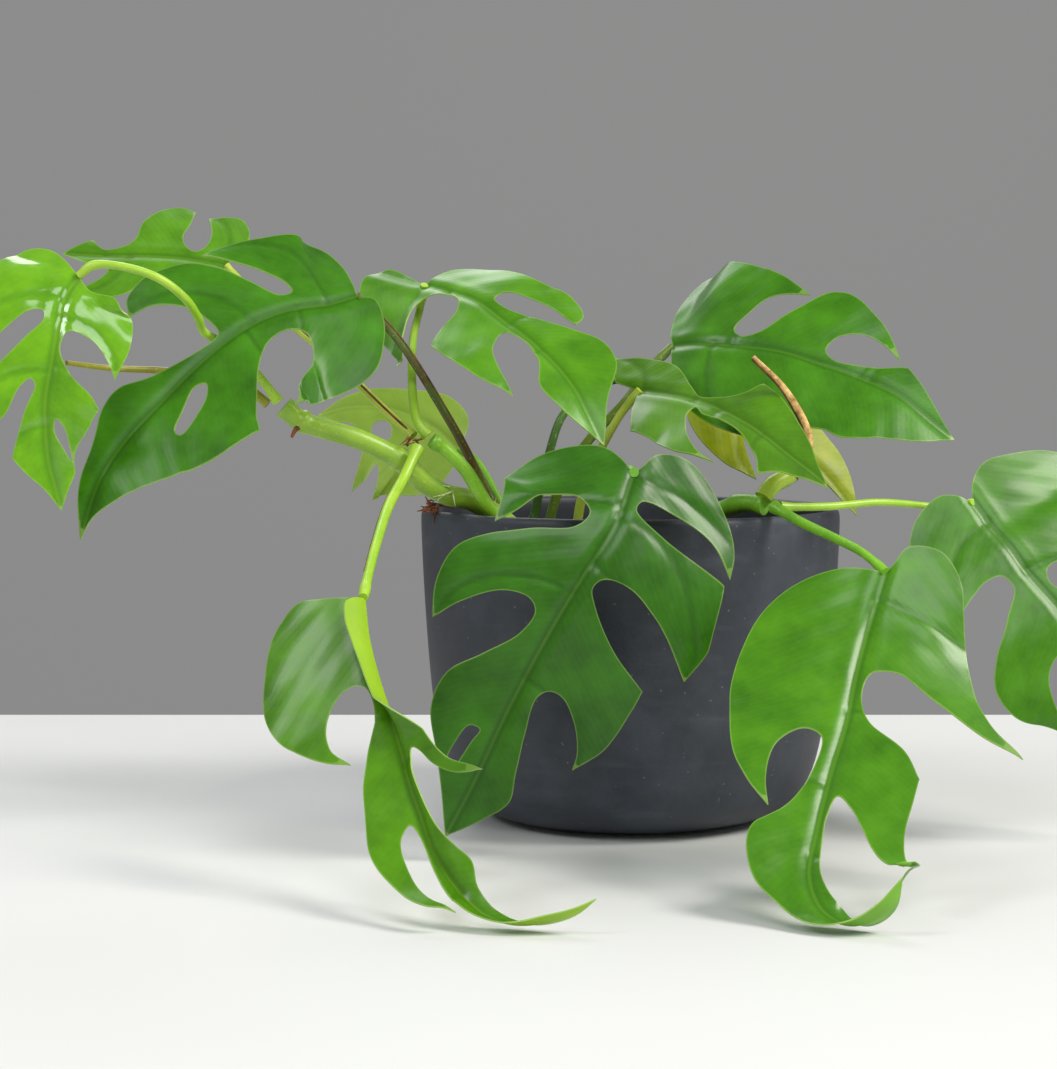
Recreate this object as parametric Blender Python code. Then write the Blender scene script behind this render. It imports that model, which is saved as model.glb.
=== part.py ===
"""Split-leaf climber in a plain round pot.

Pot, soil, three stems, petioles, dried sheaths and twelve split leaf blades, one closed solid each.
Z is up, X runs to the plant's right, Y to its back. The origin is the centre of the pot's underside.
Every size and place below is in millimetres, and MM turns it to metres where a mesh is made.
"""
import math

import bmesh
import bpy
import numpy as np
from mathutils import Vector
from mathutils.geometry import delaunay_2d_cdt

MM = 0.001
GAP = 0.3                   # clearance between neighbouring solids

# Pot
RIM_RADIUS = 80.0
POT_HEIGHT = 119.0
FOOT_RADIUS = 44.0          # flat ring it stands on
WALL = 4.5
FLOOR = 7.0
POT_SEGMENTS = 48

# Soil
SOIL_TOP = 104.0            # 15 mm below the rim
SOIL_RISE = 2.0             # low mound towards the middle
PLANTING_DEPTH = 12.0

# Plant
BLADE_THICKNESS = 0.8
BLADE_GRID = 11.0           # spacing of the points inside a blade
EDGE_STEP = 7.5             # longest straight stretch of a blade's edge
TUBE_STEP = 9.0             # longest straight stretch of a stem
PETIOLE_STOP = 3.0          # a petiole ends this far short of its blade
CURVE_STOP = 4.5            # the curve points of a petiole end this far before its blade

# Stems and petioles: name -> (radius at the start, radius at the end, points along the middle)
# The first group starts in the soil, and the first point there gives only x and y.
PLANTED = {
    "stem_left": (4.0, 3.7, ((-42, -22), (-45, -24, 112), (-52, -29, 118), (-60, -33, 123),
                             (-69, -39, 125.5),
                             (-77, -43, 130), (-85, -46, 138), (-100, -50, 146), (-121, -54, 153),
                             (-127, -55, 158))),
    "stem_front_left": (2.9, 2.4, ((-43, -39), (-46, -40, 113), (-54, -43, 122), (-62, -45, 135),
                                   (-70, -47, 143), (-74, -48, 146))),
    "stem_right": (3.3, 3.2, ((18, -28), (20, -31, 110), (25, -39, 117), (33, -48, 121),
                              (39, -56, 123.5), (46, -61, 123))),
    "petiole_upper_left": (1.9, 1.4, ((-50, -14), (-54, -18, 123), (-62, -25, 141), (-70, -32, 156),
                                      (-85, -46, 181), (-95, -54, 193), (-100, -58, 198))),
    "petiole_front_centre": (2.3, 1.6, ((-8, -36), (-7, -40, 118), (-5, -56, 132), (-3, -72, 136),
                                        (-2, -82, 135), (-2, -88, 136))),
    "petiole_upper_right": (2.1, 1.5, ((-32, -6), (-26, -6, 129), (-16, -4, 144), (-2, -3, 159),
                                       (8, -3, 172),
                                       (16, -1, 180))),
    "petiole_middle_right": (2.0, 1.5, ((-21, -22), (-19, -23, 123), (-13, -24, 139), (-5, -27, 154),
                                        (2.4, -30, 163.7))),
    "petiole_back_right": (1.9, 1.4, ((-38, 8), (-31, 10, 138), (-25, 14, 154), (-11, 22, 165),
                                      (9, 27, 167),
                                      (27, 24, 161))),
    "petiole_back_low": (1.8, 1.4, ((-44, 8), (-52, 14, 124), (-60, 24, 136), (-66, 30, 139))),
}
# The second group grows from a node of a stem.
GROWN = {
    "petiole_far_left": (1.7, 1.4, ((-129, -56, 160), (-134, -58, 167), (-141, -61, 175),
                                    (-149, -66, 181.5),
                                    (-153.5, -73, 185), (-154.5, -81, 190), (-158, -89, 196.5),
                                    (-166, -94, 203), (-178, -95, 207), (-189, -93, 207.5),
                                    (-194, -92, 204))),
    "growing_tip": (1.8, 0.9, ((-133, -53, 159), (-141, -52, 165), (-155, -55, 169), (-169, -60, 171),
                               (-187, -70, 172), (-200, -84, 174))),
    "petiole_upper_middle": (1.7, 1.4, ((-75.5, -46.5, 147.5), (-79, -46, 152), (-81, -40, 160),
                                        (-82, -28, 173),
                                        (-82, -12, 184), (-80, -3, 194), (-78, -8, 203))),
    "petiole_back_left": (1.6, 1.3, ((-81, -43, 147), (-91, -38, 156), (-103, -30, 167), (-124, 0, 184),
                                     (-145, 48, 196), (-156, 71, 206), (-162, 74, 213))),
    "petiole_low_left": (2.1, 1.6, ((-79, -52, 143), (-84, -62, 132), (-88, -76, 124), (-91, -98, 113),
                                    (-93, -116, 103), (-94, -128, 96))),
    "petiole_front_right": (1.9, 1.4, ((49, -64, 122.5), (57, -74, 118), (68, -88, 113), (76, -99, 109),
                                       (83, -110, 103))),
    "petiole_far_right": (1.5, 1.2, ((52, -58.5, 122), (70, -54, 122), (89, -46, 123), (109, -36, 121),
                                     (118, -35, 120), (124, -42, 123))),
    "young_shoot": (3.4, 3.0, ((49, -59, 130), (54, -56.5, 132.5), (59, -54, 135.5))),
    "dried_sheath_shoot": (1.7, 0.8, ((61.5, -56.5, 139), (62.5, -54, 144), (62, -51.5, 149.5),
                                      (58.5, -50.5, 157), (52.5, -51, 166), (42.3, -53, 176))),
}

# Leaf blades. rib: points along the midrib, each with the way the upper side faces there.
# hold: stations along the rib (from the base) with the rise in degrees and the droop in degrees per
# 10 mm, first of the left half and then of the right half, seen with the tip hanging down.
# edge: strokes of (along, across) points round the blade, left half first. Strokes meet at lobe tips.
LEAVES = {
    "front_centre": dict(
        rib=(((-2, -88, 136), (.1, -.75, .65)), ((-9, -99, 118), (.1, -.92, .35)),
             ((-20, -104, 101), (.05, -.98, .15)), ((-33, -104, 79), (0, -1, .05)),
             ((-46, -101, 54), (0, -1, 0)),
             ((-58, -98, 28), (0, -1, 0)), ((-68, -97, 9), (0, -1, 0))),
        hold=((0, -6, 4, -6, 4), (60, 6, 3, 6, 3), (110, 8, 3, 8, 3)),
        edge=(((0, 0), (-7, 12), (-5, 25), (2, 37), (15, 43), (29, 41), (43, 36)),
              ((37, 32), (22, 27), (16, 16), (21, 10), (30, 12), (39, 24), (47, 35), (57, 43), (69, 43),
              (80, 38)),
              ((71, 32), (61, 21), (59, 12), (62, 8), (71, 9), (83, 17), (94, 25), (106, 25), (120, 17),
               (133, 9), (147, 0)),
              ((135, -9), (126, -14), (117, -12), (102, -9), (88, -7), (84, -10), (84, -15), (91, -23),
               (100, -28), (107, -29)),
              ((94, -36), (76, -38), (68, -38)),
              ((60, -22), (50, -9), (45, -5), (40, -7), (38, -18), (46, -35), (57, -49)),
              ((41, -51), (26, -46), (22, -44)),
              ((21, -33), (19, -18), (14, -5), (10, -6), (10, -18), (13, -33), (20, -45)),
              ((13, -43), (-1, -33), (-12, -17), (-10, -6), (-3, -2), (0, 0))),
        holes=(((107, 6), (107, 10), (114, 12), (122, 12), (124, 9), (119, 8), (112, 7)),)),
    "front_right": dict(
        rib=(((83, -110, 103), (-.1, -.7, .7)), ((77, -118, 87), (-.1, -.85, .5)),
             ((71, -130, 71), (-.1, -.85, .5)),
             ((66, -144, 56), (-.1, -.85, .5)), ((59, -160, 41), (-.1, -.8, .6)),
             ((53, -176, 26), (-.1, -.8, .6)),
             ((49, -191, 14), (-.1, -.7, .7)), ((52, -202, 6), (-.2, -.2, 1)),
             ((59, -208, 3), (-.3, .35, .9)),
             ((66, -211, 5), (-.4, .6, .6)), ((71, -213, 10), (-.6, .8, .3)),
             ((74, -213, 17), (-.6, .8, .1))),
        hold=((0, 4, 4, -4, 5), (60, 8, 4, 6, 4), (120, 12, 2, 12, 2), (140, 4, 0, 4, 0)),
        edge=(((0, 0), (2, 13), (10, 26), (23, 36), (41, 40), (58, 40), (81, 34), (95, 24), (101, 17)),
              ((91, 20), (77, 20), (68, 13), (69, 7), (83, 6), (99, 11), (110, 20), (118, 21), (126, 18),
               (136, 11), (150, 7), (163, 5), (175, 0)),
              ((166, -4), (155, -6), (145, -6), (136, -5), (119, -3), (100, -2), (92, -4), (96, -9),
               (110, -17),
               (128, -28), (147, -37)),
              ((128, -33), (108, -28), (87, -28), (78, -28)),
              ((68, -21), (59, -7), (49, -3), (39, -5), (37, -14), (46, -28), (55, -44), (58, -59)),
              ((50, -47), (26, -36), (8, -30), (-5, -25), (-13, -16), (-11, -5), (-4, -2), (0, 0))),
        holes=()),
    "upper_left": dict(
        rib=(((-100, -58, 198), (-.1, -.8, .6)), ((-110, -62, 195), (-.1, -.85, .5)),
             ((-123, -66, 193), (-.15, -.85, .5)), ((-136, -70, 188), (-.15, -.85, .45)),
             ((-146, -75, 181), (-.2, -.9, .4)), ((-157, -80, 171), (-.25, -.9, .4)),
             ((-167, -86, 160), (-.25, -.9, .4)), ((-178, -90, 148), (-.25, -.9, .35)),
             ((-187, -94, 134), (-.25, -.9, .3)), ((-194, -96, 113), (-.25, -.9, .25))),
        hold=((0, 2, 4, -4, 4), (50, 8, 4, 4, 3), (110, 12, 2, 12, 2)),
        edge=(((0, 0), (-1, 16), (3, 27), (14, 32), (28, 35), (40, 36)),
              ((35, 27), (29, 19), (24, 12), (23, 7), (27, 7), (34, 17), (39, 28), (44, 37), (53, 41),
               (63, 40),
               (67, 34)),
              ((60, 30), (53, 20), (51, 12), (52, 4), (62, 4), (77, 9), (90, 15), (97, 15), (110, 9),
               (124, 6),
               (141, 0)),
              ((133, -2), (122, -11), (105, -25), (85, -34), (74, -38)),
              ((61, -27), (46, -13), (31, -8), (22, -11), (22, -21), (35, -29), (51, -36)),
              ((29, -39), (11, -34), (3, -27), (-4, -15), (-5, -4), (0, 0))),
        holes=(((69, -8), (73, -6), (84, -10), (89, -13), (89, -16), (81, -15), (73, -12)),)),
    "far_left": dict(
        rib=(((-194, -92, 204), (.1, -.5, .85)), ((-198, -97, 197), (.1, -.75, .65)),
             ((-200, -101, 186), (.05, -.85, .5)), ((-202, -103, 174), (0, -.9, .4)),
             ((-204, -104, 161), (0, -.9, .4)),
             ((-204, -104, 151), (0, -.9, .4)), ((-203, -104, 140), (0, -.9, .35)),
             ((-201, -104, 132), (0, -.9, .3)),
             ((-199, -104, 124), (0, -.9, .3))),
        hold=((0, 4, 4, 4, 5), (50, 10, 4, 10, 4), (90, 12, 4, 12, 4)),
        edge=(((0, 0), (-6, 14), (-4, 23), (6, 28), (16, 33), (26, 35), (37, 34)),
              ((33, 25), (25, 18), (17, 11), (16, 6), (19, 5), (26, 10), (36, 17), (46, 22), (55, 23)),
              ((52, 14), (43, 9), (40, 6), (42, 4), (51, 7), (65, 12)),
              ((76, 4), (85, 0)),
              ((79, -4), (74, -8)),
              ((65, -10), (57, -15), (49, -19)),
              ((43, -16), (36, -7), (28, -2), (22, -4), (24, -13), (31, -20), (36, -23)),
              ((24, -26), (13, -24), (3, -17), (4, -7), (0, 0))),
        holes=(((53, -4), (57, -7), (69, -8), (64, -6), (57, -3)),)),
    "upper_middle": dict(
        rib=(((-78, -8, 203), (.1, -.6, .8)), ((-67, -16, 200), (.1, -.6, .8)),
             ((-57, -24, 196), (.1, -.65, .75)),
             ((-49, -31, 190), (.15, -.65, .75)), ((-42, -37, 185), (.15, -.65, .75)),
             ((-35, -44, 179), (.15, -.7, .7)), ((-28, -51, 172), (.15, -.7, .7)),
             ((-22, -58, 164), (.2, -.75, .65)),
             ((-17, -63, 155), (.2, -.75, .6)), ((-12, -67, 145), (.2, -.8, .55))),
        hold=((0, -10, 5, 6, 5), (40, 4, 4, 10, 4), (90, 10, 3, 12, 3)),
        edge=(((0, 0), (-9, -2), (-20, -3), (-26, 5), (-20, 16), (-6, 27), (10, 36), (30, 43)),
              ((13, 30), (5, 16), (5, 8), (12, 2), (19, 3), (24, 9), (28, 19), (36, 30)),
              ((50, 31), (66, 28), (82, 24)),
              ((62, 19), (52, 14), (47, 6), (54, 2), (66, 4), (81, 12), (93, 9), (110, 0)),
              ((94, -9), (81, -20), (71, -21), (61, -16), (51, -11), (37, -5), (30, -5), (30, -11),
               (43, -17),
               (59, -19)),
              ((57, -24), (46, -28), (30, -24), (13, -20), (2, -11), (0, 0))),
        holes=()),
    "upper_right": dict(
        rib=(((16, -1, 180), (0, -.75, .65)), ((26, -9, 181), (0, -.85, .55)),
             ((40, -17, 180), (0, -.85, .55)),
             ((55, -23, 178), (0, -.85, .55)), ((70, -29, 173), (.05, -.85, .5)),
             ((84, -33, 168), (.1, -.85, .5)),
             ((98, -38, 161), (.1, -.85, .5)), ((110, -42, 151), (.15, -.85, .45)),
             ((119, -44, 144), (.2, -.85, .4))),
        hold=((0, 4, 4, 8, 5), (50, 8, 3, 10, 4), (110, 12, 2, 12, 2)),
        edge=(((0, 0), (5, 12), (13, 25), (27, 35), (52, 42)),
              ((45, 35), (47, 27), (54, 26), (63, 29), (73, 28), (83, 29), (102, 19), (119, 0)),
              ((101, -7), (90, -12)),
              ((80, -6), (66, -3), (61, -6), (63, -12), (74, -17), (87, -13)),
              ((76, -24), (64, -31), (53, -31), (45, -19), (36, -7), (29, -4), (25, -7), (29, -15),
               (36, -23),
               (47, -27)),
              ((37, -34), (23, -38), (0, -41), (-6, -26), (-4, -8), (0, 0))),
        holes=()),
    "middle_right": dict(
        rib=(((2.4, -30, 163.7), (0.1, -0.72, 0.68)), ((13.1, -38, 162.4), (0.1, -0.72, 0.68)),
             ((23.6, -46, 159.9), (0.1, -0.75, 0.65)), ((33.9, -55, 155.4), (0.15, -0.75, 0.65)),
             ((44, -63, 149.2), (0.15, -0.75, 0.6)), ((54, -71, 140.9), (0.2, -0.75, 0.6)),
             ((61.2, -77, 135.2), (0.25, -0.75, 0.6)), ((66.4, -81, 130.5), (0.25, -0.75, 0.6))),
        hold=((0, 4, 3, 14, 4), (40, 4, 3, 8, 4), (80, 6, 3, 8, 3)),
        edge=(((0, 0), (1, 4), (4, 12), (11, 24)),
              ((19, 25), (38, 28), (48, 25), (55, 23)),
              ((46, 23), (38, 19), (31, 13), (27, 8), (28, 4), (33, 6), (39, 5), (48, 5), (58, 8),
               (65, 11), (70, 16)),
              ((74, 10), (81, 6), (90, 0)),
              ((81, -4), (71, -10), (60, -14), (50, -18), (40, -20)),
              ((38, -12), (33, -5), (26, -2), (20, -5), (14, -10), (8, -14), (1, -15), (-8, -15),
              (-19, -14)),
              ((-17, -8), (-12, -2)),
              ((-6, -1), (0, 0))),
        holes=()),
    "back_right": dict(
        rib=(((27, 24, 161), (.1, -.75, .6)), ((42, 22, 154), (.1, -.75, .6)),
             ((57, 20, 145), (.1, -.75, .6)),
             ((73, 18, 133), (.1, -.75, .6)), ((89, 16, 114), (.1, -.75, .6))),
        hold=((0, 0, 4, 4, 4), (60, 6, 3, 6, 3)),
        edge=(((0, 0), (-1, 8), (7, 17), (23, 23), (38, 22)),
              ((30, 15), (25, 9), (28, 4), (36, 4), (48, 3), (59, 2), (69, 1), (79, 0)),
              ((69, -7), (60, -11), (50, -14), (38, -18)),
              ((31, -13), (23, -10), (20, -14), (24, -24), (12, -24), (2, -18), (-3, -9), (0, 0))),
        holes=()),
    "back_left": dict(
        rib=(((-162, 74, 213), (-.1, -.7, .7)), ((-180, 78, 216), (-.1, -.7, .7)),
             ((-196, 80, 217), (-.1, -.7, .7)),
             ((-213, 82, 217), (-.1, -.7, .7)), ((-231, 84, 218), (-.1, -.7, .7))),
        hold=((0, 4, 4, 4, 4), (70, 6, 3, 6, 3)),
        edge=(((0, 0), (-4, 13), (-2, 22), (5, 28), (16, 25)),
              ((12, 15), (12, 8), (15, 4), (19, 6), (22, 12), (21, 20), (21, 28)),
              ((27, 30), (34, 27), (39, 20), (41, 9), (47, 4), (54, 4), (59, 9)),
              ((64, 5), (70, 0)),
              ((59, -5), (49, -8), (51, -14), (59, -22)),
              ((48, -25), (37, -21), (31, -12), (25, -12), (21, -19), (24, -28)),
              ((7, -23), (-1, -14), (0, 0))),
        holes=()),
    "far_right": dict(
        rib=(((124, -42, 123), (.05, -.85, .5)), ((131, -47, 113), (.1, -.88, .5)),
             ((136, -51, 107), (.1, -.88, .45)),
             ((142, -55, 98), (.1, -.9, .4)), ((152, -60, 86), (.1, -.9, .4)),
             ((161, -63, 72), (.1, -.92, .35)),
             ((170, -65, 55), (.1, -.92, .3)), ((175, -66, 34), (.1, -.92, .3))),
        hold=((0, 2, 3, 2, 3), (60, 6, 4, 6, 4), (110, 8, 3, 8, 3)),
        edge=(((0, 0), (-5, 4), (-8, 9), (-7, 17), (-3, 25), (4, 31), (17, 33), (33, 30)),
              ((31, 23), (29, 15), (30, 9), (35, 8), (42, 18), (52, 30), (63, 37), (73, 37), (86, 31),
              (98, 19)),
              ((82, 21), (70, 18), (65, 10), (71, 8), (85, 9), (108, 0)),
              ((97, -8), (88, -9), (80, -8)),
              ((70, -7), (65, -10), (65, -15), (75, -20), (84, -19)),
              ((74, -29), (62, -29), (53, -19), (48, -7), (41, -4), (36, -8), (39, -18), (48, -27),
              (59, -33)),
              ((48, -44), (23, -50), (8, -49), (-3, -39), (-9, -25), (-11, -13), (-6, -4), (0, 0))),
        holes=()),
    "low_left": dict(
        rib=(((-94, -128, 96), (-.35, -.8, .45)), ((-92, -136, 83), (-.35, -.8, .4)),
             ((-88, -144, 70), (-.35, -.8, .4)),
             ((-84, -151, 60), (-.35, -.8, .4)), ((-80, -160, 49), (-.4, -.8, .5)),
             ((-77, -169, 40), (-.4, -.8, .5)),
             ((-73, -177, 31), (-.4, -.8, .5)), ((-69, -186, 22), (-.3, -.8, .55)),
             ((-64, -193, 15), (-.2, -.7, .7)),
             ((-58, -199, 9), (0, -.5, .9)), ((-52, -204, 5), (.1, -.2, 1)), ((-43, -207, 3), (0, .2, 1)),
             ((-34, -209, 4), (0, .5, .9)), ((-25, -210, 7), (0, .6, .8)), ((-19, -210, 11), (0, .6, .8))),
        hold=((0, 10, 6, 112, 0), (20, 12, 5, 112, 0), (40, 16, 4, 100, 0), (58, 20, 3, 28, 2),
              (120, 20, 0, 25, 0),
              (135, 5, 0, 5, 0)),
        edge=(((0, 0), (-3, 14), (-4, 24), (3, 32), (15, 38), (29, 41), (43, 35), (54, 25), (58, 17)),
              ((50, 22), (39, 21), (32, 15), (30, 9), (32, 5), (37, 4), (43, 5), (57, 11), (75, 16),
               (93, 19),
               (106, 17), (118, 15), (124, 9)),
              ((115, 11), (102, 10), (91, 8), (87, 4), (94, 2), (107, 3), (118, 5), (128, 5), (142, 5),
               (154, 3),
               (165, 0)),
              ((152, -3), (140, -5), (127, -4), (119, -5), (111, -9), (104, -8), (88, -4), (76, -3),
               (66, -3),
               (61, -5), (64, -8), (72, -12), (80, -18), (85, -24), (88, -30)),
              ((82, -25), (75, -19), (67, -15), (58, -12), (46, -9), (34, -8), (20, -8), (10, -10), (4, -9),
               (0, 0))),
        holes=()),
    "back_low": dict(
        rib=(((-66, 30, 139), (-.1, -.8, .6)), ((-78, 32, 149), (-.1, -.8, .6)),
             ((-93, 34, 155), (-.1, -.8, .6)),
             ((-109, 35, 156), (-.1, -.8, .6)), ((-121, 36, 153), (-.1, -.8, .6))),
        hold=((0, 4, 4, 4, 4), (60, 6, 3, 6, 3)),
        edge=(((0, 0), (6, 12), (16, 15), (28, 11), (42, 8), (52, 4), (62, 0)),
              ((55, -6), (47, -9), (42, -16), (42, -26), (47, -40)),
              ((36, -34), (29, -26), (24, -32), (20, -40)),
              ((6, -32), (-3, -20), (-3, -8), (0, 0))),
        holes=(((32, -6), (38, -8), (37, -16), (31, -18), (28, -11)),)),
}

LEAF_GREEN = {
    "front_centre": "2f7a12", "front_right": "3f9a10", "upper_left": "2f7516", "far_left": "6bbb10",
    "upper_middle": "4c9a14", "upper_right": "3a8a12", "middle_right": "3f8020", "back_right": "8fae28",
    "back_left": "468f18", "far_right": "3a8a12", "low_left": "4d9a20", "back_low": "a4b95a",
}
STEM_GREEN = {
    "stem_left": "8fb82c", "stem_front_left": "86c820", "stem_right": "6fae1e",
    "petiole_upper_left": "46521c",
    "petiole_upper_right": "5f7420", "petiole_middle_right": "a8b83a", "petiole_back_right": "3f6a1e",
    "growing_tip": "8a8c1c", "young_shoot": "86a81c",
}
PETIOLE_GREEN = "92c024"
SHEATH_BROWN = "8a6232"
POT_CHARCOAL = "3a3c44"
SOIL_BROWN = "2b211b"


def linear(hex_colour):
    """sRGB hex to linear RGBA."""
    parts = [int(hex_colour[k:k + 2], 16) / 255 for k in (0, 2, 4)]
    return [p / 12.92 if p <= 0.04045 else ((p + 0.055) / 1.055) ** 2.4 for p in parts] + [1.0]


def finish(name, obj, hex_colour, roughness, smooth_angle=None):
    """Name the object, give it its own material and shade it."""
    obj.name = name
    obj.data.name = name
    material = bpy.data.materials.new(name)
    material.use_nodes = True
    shader = material.node_tree.nodes["Principled BSDF"]
    shader.inputs["Base Color"].default_value = linear(hex_colour)
    shader.inputs["Roughness"].default_value = roughness
    shader.inputs["Metallic"].default_value = 0.0
    obj.data.materials.append(material)
    if smooth_angle is not None:
        obj.data.shade_smooth()
        obj.data.set_sharp_from_angle(angle=smooth_angle)
    return obj


def add_mesh(name, mesh_builder):
    """A new object in the scene from a bmesh, which is freed."""
    mesh = bpy.data.meshes.new(name)
    mesh_builder.to_mesh(mesh)
    mesh_builder.free()
    obj = bpy.data.objects.new(name, mesh)
    bpy.context.collection.objects.link(obj)
    return obj


def smooth_through(points, step, knot_columns=3):
    """Centripetal Catmull-Rom curve through the points, in stretches no longer than step."""
    pts = np.array(points, float)
    pts = np.vstack([2 * pts[0] - pts[1], pts, 2 * pts[-1] - pts[-2]])
    curve = []
    for i in range(1, len(pts) - 2):
        p = pts[i - 1:i + 3]
        chords = np.linalg.norm(np.diff(p[:, :knot_columns], axis=0), axis=1)
        k0, k1, k2, k3 = np.concatenate([[0], np.cumsum(np.sqrt(np.maximum(chords, 1e-9)))])
        count = max(1, math.ceil(chords[1] / step))
        for j in range(count):
            k = k1 + (k2 - k1) * j / count
            a1 = ((k1 - k) * p[0] + (k - k0) * p[1]) / (k1 - k0)
            a2 = ((k2 - k) * p[1] + (k - k1) * p[2]) / (k2 - k1)
            a3 = ((k3 - k) * p[2] + (k - k2) * p[3]) / (k3 - k2)
            b1 = ((k2 - k) * a1 + (k - k0) * a2) / (k2 - k0)
            b2 = ((k3 - k) * a2 + (k - k1) * a3) / (k3 - k1)
            curve.append(((k2 - k) * b1 + (k - k1) * b2) / (k2 - k1))
    curve.append(pts[-2])
    return np.array(curve)


def turned(profile, segments):
    """A closed solid turned round Z from an (r, z) profile whose two ends lie on the axis."""
    builder = bmesh.new()
    verts = [builder.verts.new((r * MM, 0, z * MM)) for r, z in profile]
    edges = [builder.edges.new(pair) for pair in zip(verts, verts[1:])]
    bmesh.ops.spin(builder, geom=verts + edges, cent=(0, 0, 0), axis=(0, 0, 1), angle=math.tau,
                   steps=segments, use_merge=True)
    bmesh.ops.remove_doubles(builder, verts=builder.verts, dist=1e-6)
    bmesh.ops.recalc_face_normals(builder, faces=builder.faces)
    return builder


def pot_outside():
    """Outer wall as (r, z), from the foot to just under the lip: round heel, then a slight flare."""
    return smooth_through(((FOOT_RADIUS, 0), (57, 3), (66.5, 11), (72.5, 26), (76, 50), (78.5, 84),
                           (RIM_RADIUS, POT_HEIGHT - WALL / 2)), 9.0, 2)


def pot_inside():
    """Inner wall as (r, z), from just under the lip down to the inner floor."""
    return [(r - WALL, max(z, FLOOR)) for r, z in pot_outside()[::-1] if z > 4.0]


def build_pot():
    lip_centre = (RIM_RADIUS - WALL / 2, POT_HEIGHT - WALL / 2)
    lip = [(lip_centre[0] + WALL / 2 * math.cos(a), lip_centre[1] + WALL / 2 * math.sin(a))
           for a in np.linspace(math.pi / 4, 3 * math.pi / 4, 3)]
    profile = [(0, 0)] + [tuple(p) for p in pot_outside()] + lip + pot_inside() + [(0, FLOOR)]
    pot = add_mesh("pot", turned(profile, POT_SEGMENTS))
    finish("pot", pot, POT_CHARCOAL, 0.6, math.radians(50))


def planting_holes():
    """Cutter for the soil: one upright cylinder for each stem or petiole that starts there."""
    builder = bmesh.new()
    for radius, _, route in PLANTED.values():
        x, y = route[0]
        low, high = SOIL_TOP - PLANTING_DEPTH - 4 * GAP, SOIL_TOP + 20
        ring = bmesh.ops.create_cone(builder, cap_ends=True, segments=16, radius1=(radius + 3 * GAP) * MM,
                                     radius2=(radius + 3 * GAP) * MM, depth=(high - low) * MM)
        bmesh.ops.translate(builder, verts=ring["verts"], vec=Vector((x, y, (low + high) / 2)) * MM)
    cutter = add_mesh("planting_holes", builder)
    cutter.hide_render = True
    cutter.display_type = "WIRE"
    return cutter


def build_soil():
    wall = [(r - 2 * GAP, z) for r, z in pot_inside() if FLOOR + 1 < z < SOIL_TOP - 1]
    widest = wall[0][0] + 0.05
    top = [(0, SOIL_TOP + SOIL_RISE), (widest * 0.5, SOIL_TOP + SOIL_RISE * 0.75),
           (widest * 0.85, SOIL_TOP + 0.4),
           (widest, SOIL_TOP)]
    floor_radius = wall[-1][0] - 5
    profile = top + wall + [(floor_radius, FLOOR + GAP), (0, FLOOR + GAP)]
    soil = add_mesh("soil", turned(profile, POT_SEGMENTS))
    cut = soil.modifiers.new("planting holes", "BOOLEAN")
    cut.operation = "DIFFERENCE"
    cut.solver = "EXACT"
    cut.object = planting_holes()
    finish("soil", soil, SOIL_BROWN, 1.0)


def route_points(name, route):
    """Middle line of a stem; a planted one starts straight up out of the soil."""
    if name in PLANTED:
        x, y = route[0]
        route = ((x, y, SOIL_TOP - PLANTING_DEPTH), (x, y, SOIL_TOP + SOIL_RISE)) + route[1:]
    points = smooth_through(route, TUBE_STEP)
    if name.startswith("petiole"):
        run = np.cumsum(np.linalg.norm(np.diff(points[::-1], axis=0), axis=1))
        keep = np.concatenate([run[::-1] > CURVE_STOP, [False]])
        end_dir = points[-1] - points[-2]
        end = points[-1] - end_dir / np.linalg.norm(end_dir) * PETIOLE_STOP
        points = np.vstack([points[keep], end])
    return points


def build_tube(name, radius_start, radius_end, route):
    """A round stem: a beveled poly curve that tapers from one radius to the other."""
    points = route_points(name, route)
    curve = bpy.data.curves.new(name, "CURVE")
    curve.dimensions = "3D"
    curve.bevel_depth = MM
    curve.bevel_resolution = 2
    curve.use_fill_caps = True
    curve.resolution_u = 1
    curve.render_resolution_u = 0
    spline = curve.splines.new("POLY")
    spline.points.add(len(points) - 1)
    for k, (point, place) in enumerate(zip(spline.points, points)):
        point.co = (*(place * MM), 1)
        point.radius = radius_start + (radius_end - radius_start) * k / (len(points) - 1)
    obj = bpy.data.objects.new(name, curve)
    bpy.context.collection.objects.link(obj)
    brown = name.startswith("dried")
    finish(name, obj, SHEATH_BROWN if brown
           else STEM_GREEN.get(name, PETIOLE_GREEN), 0.8 if brown else 0.45)


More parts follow.
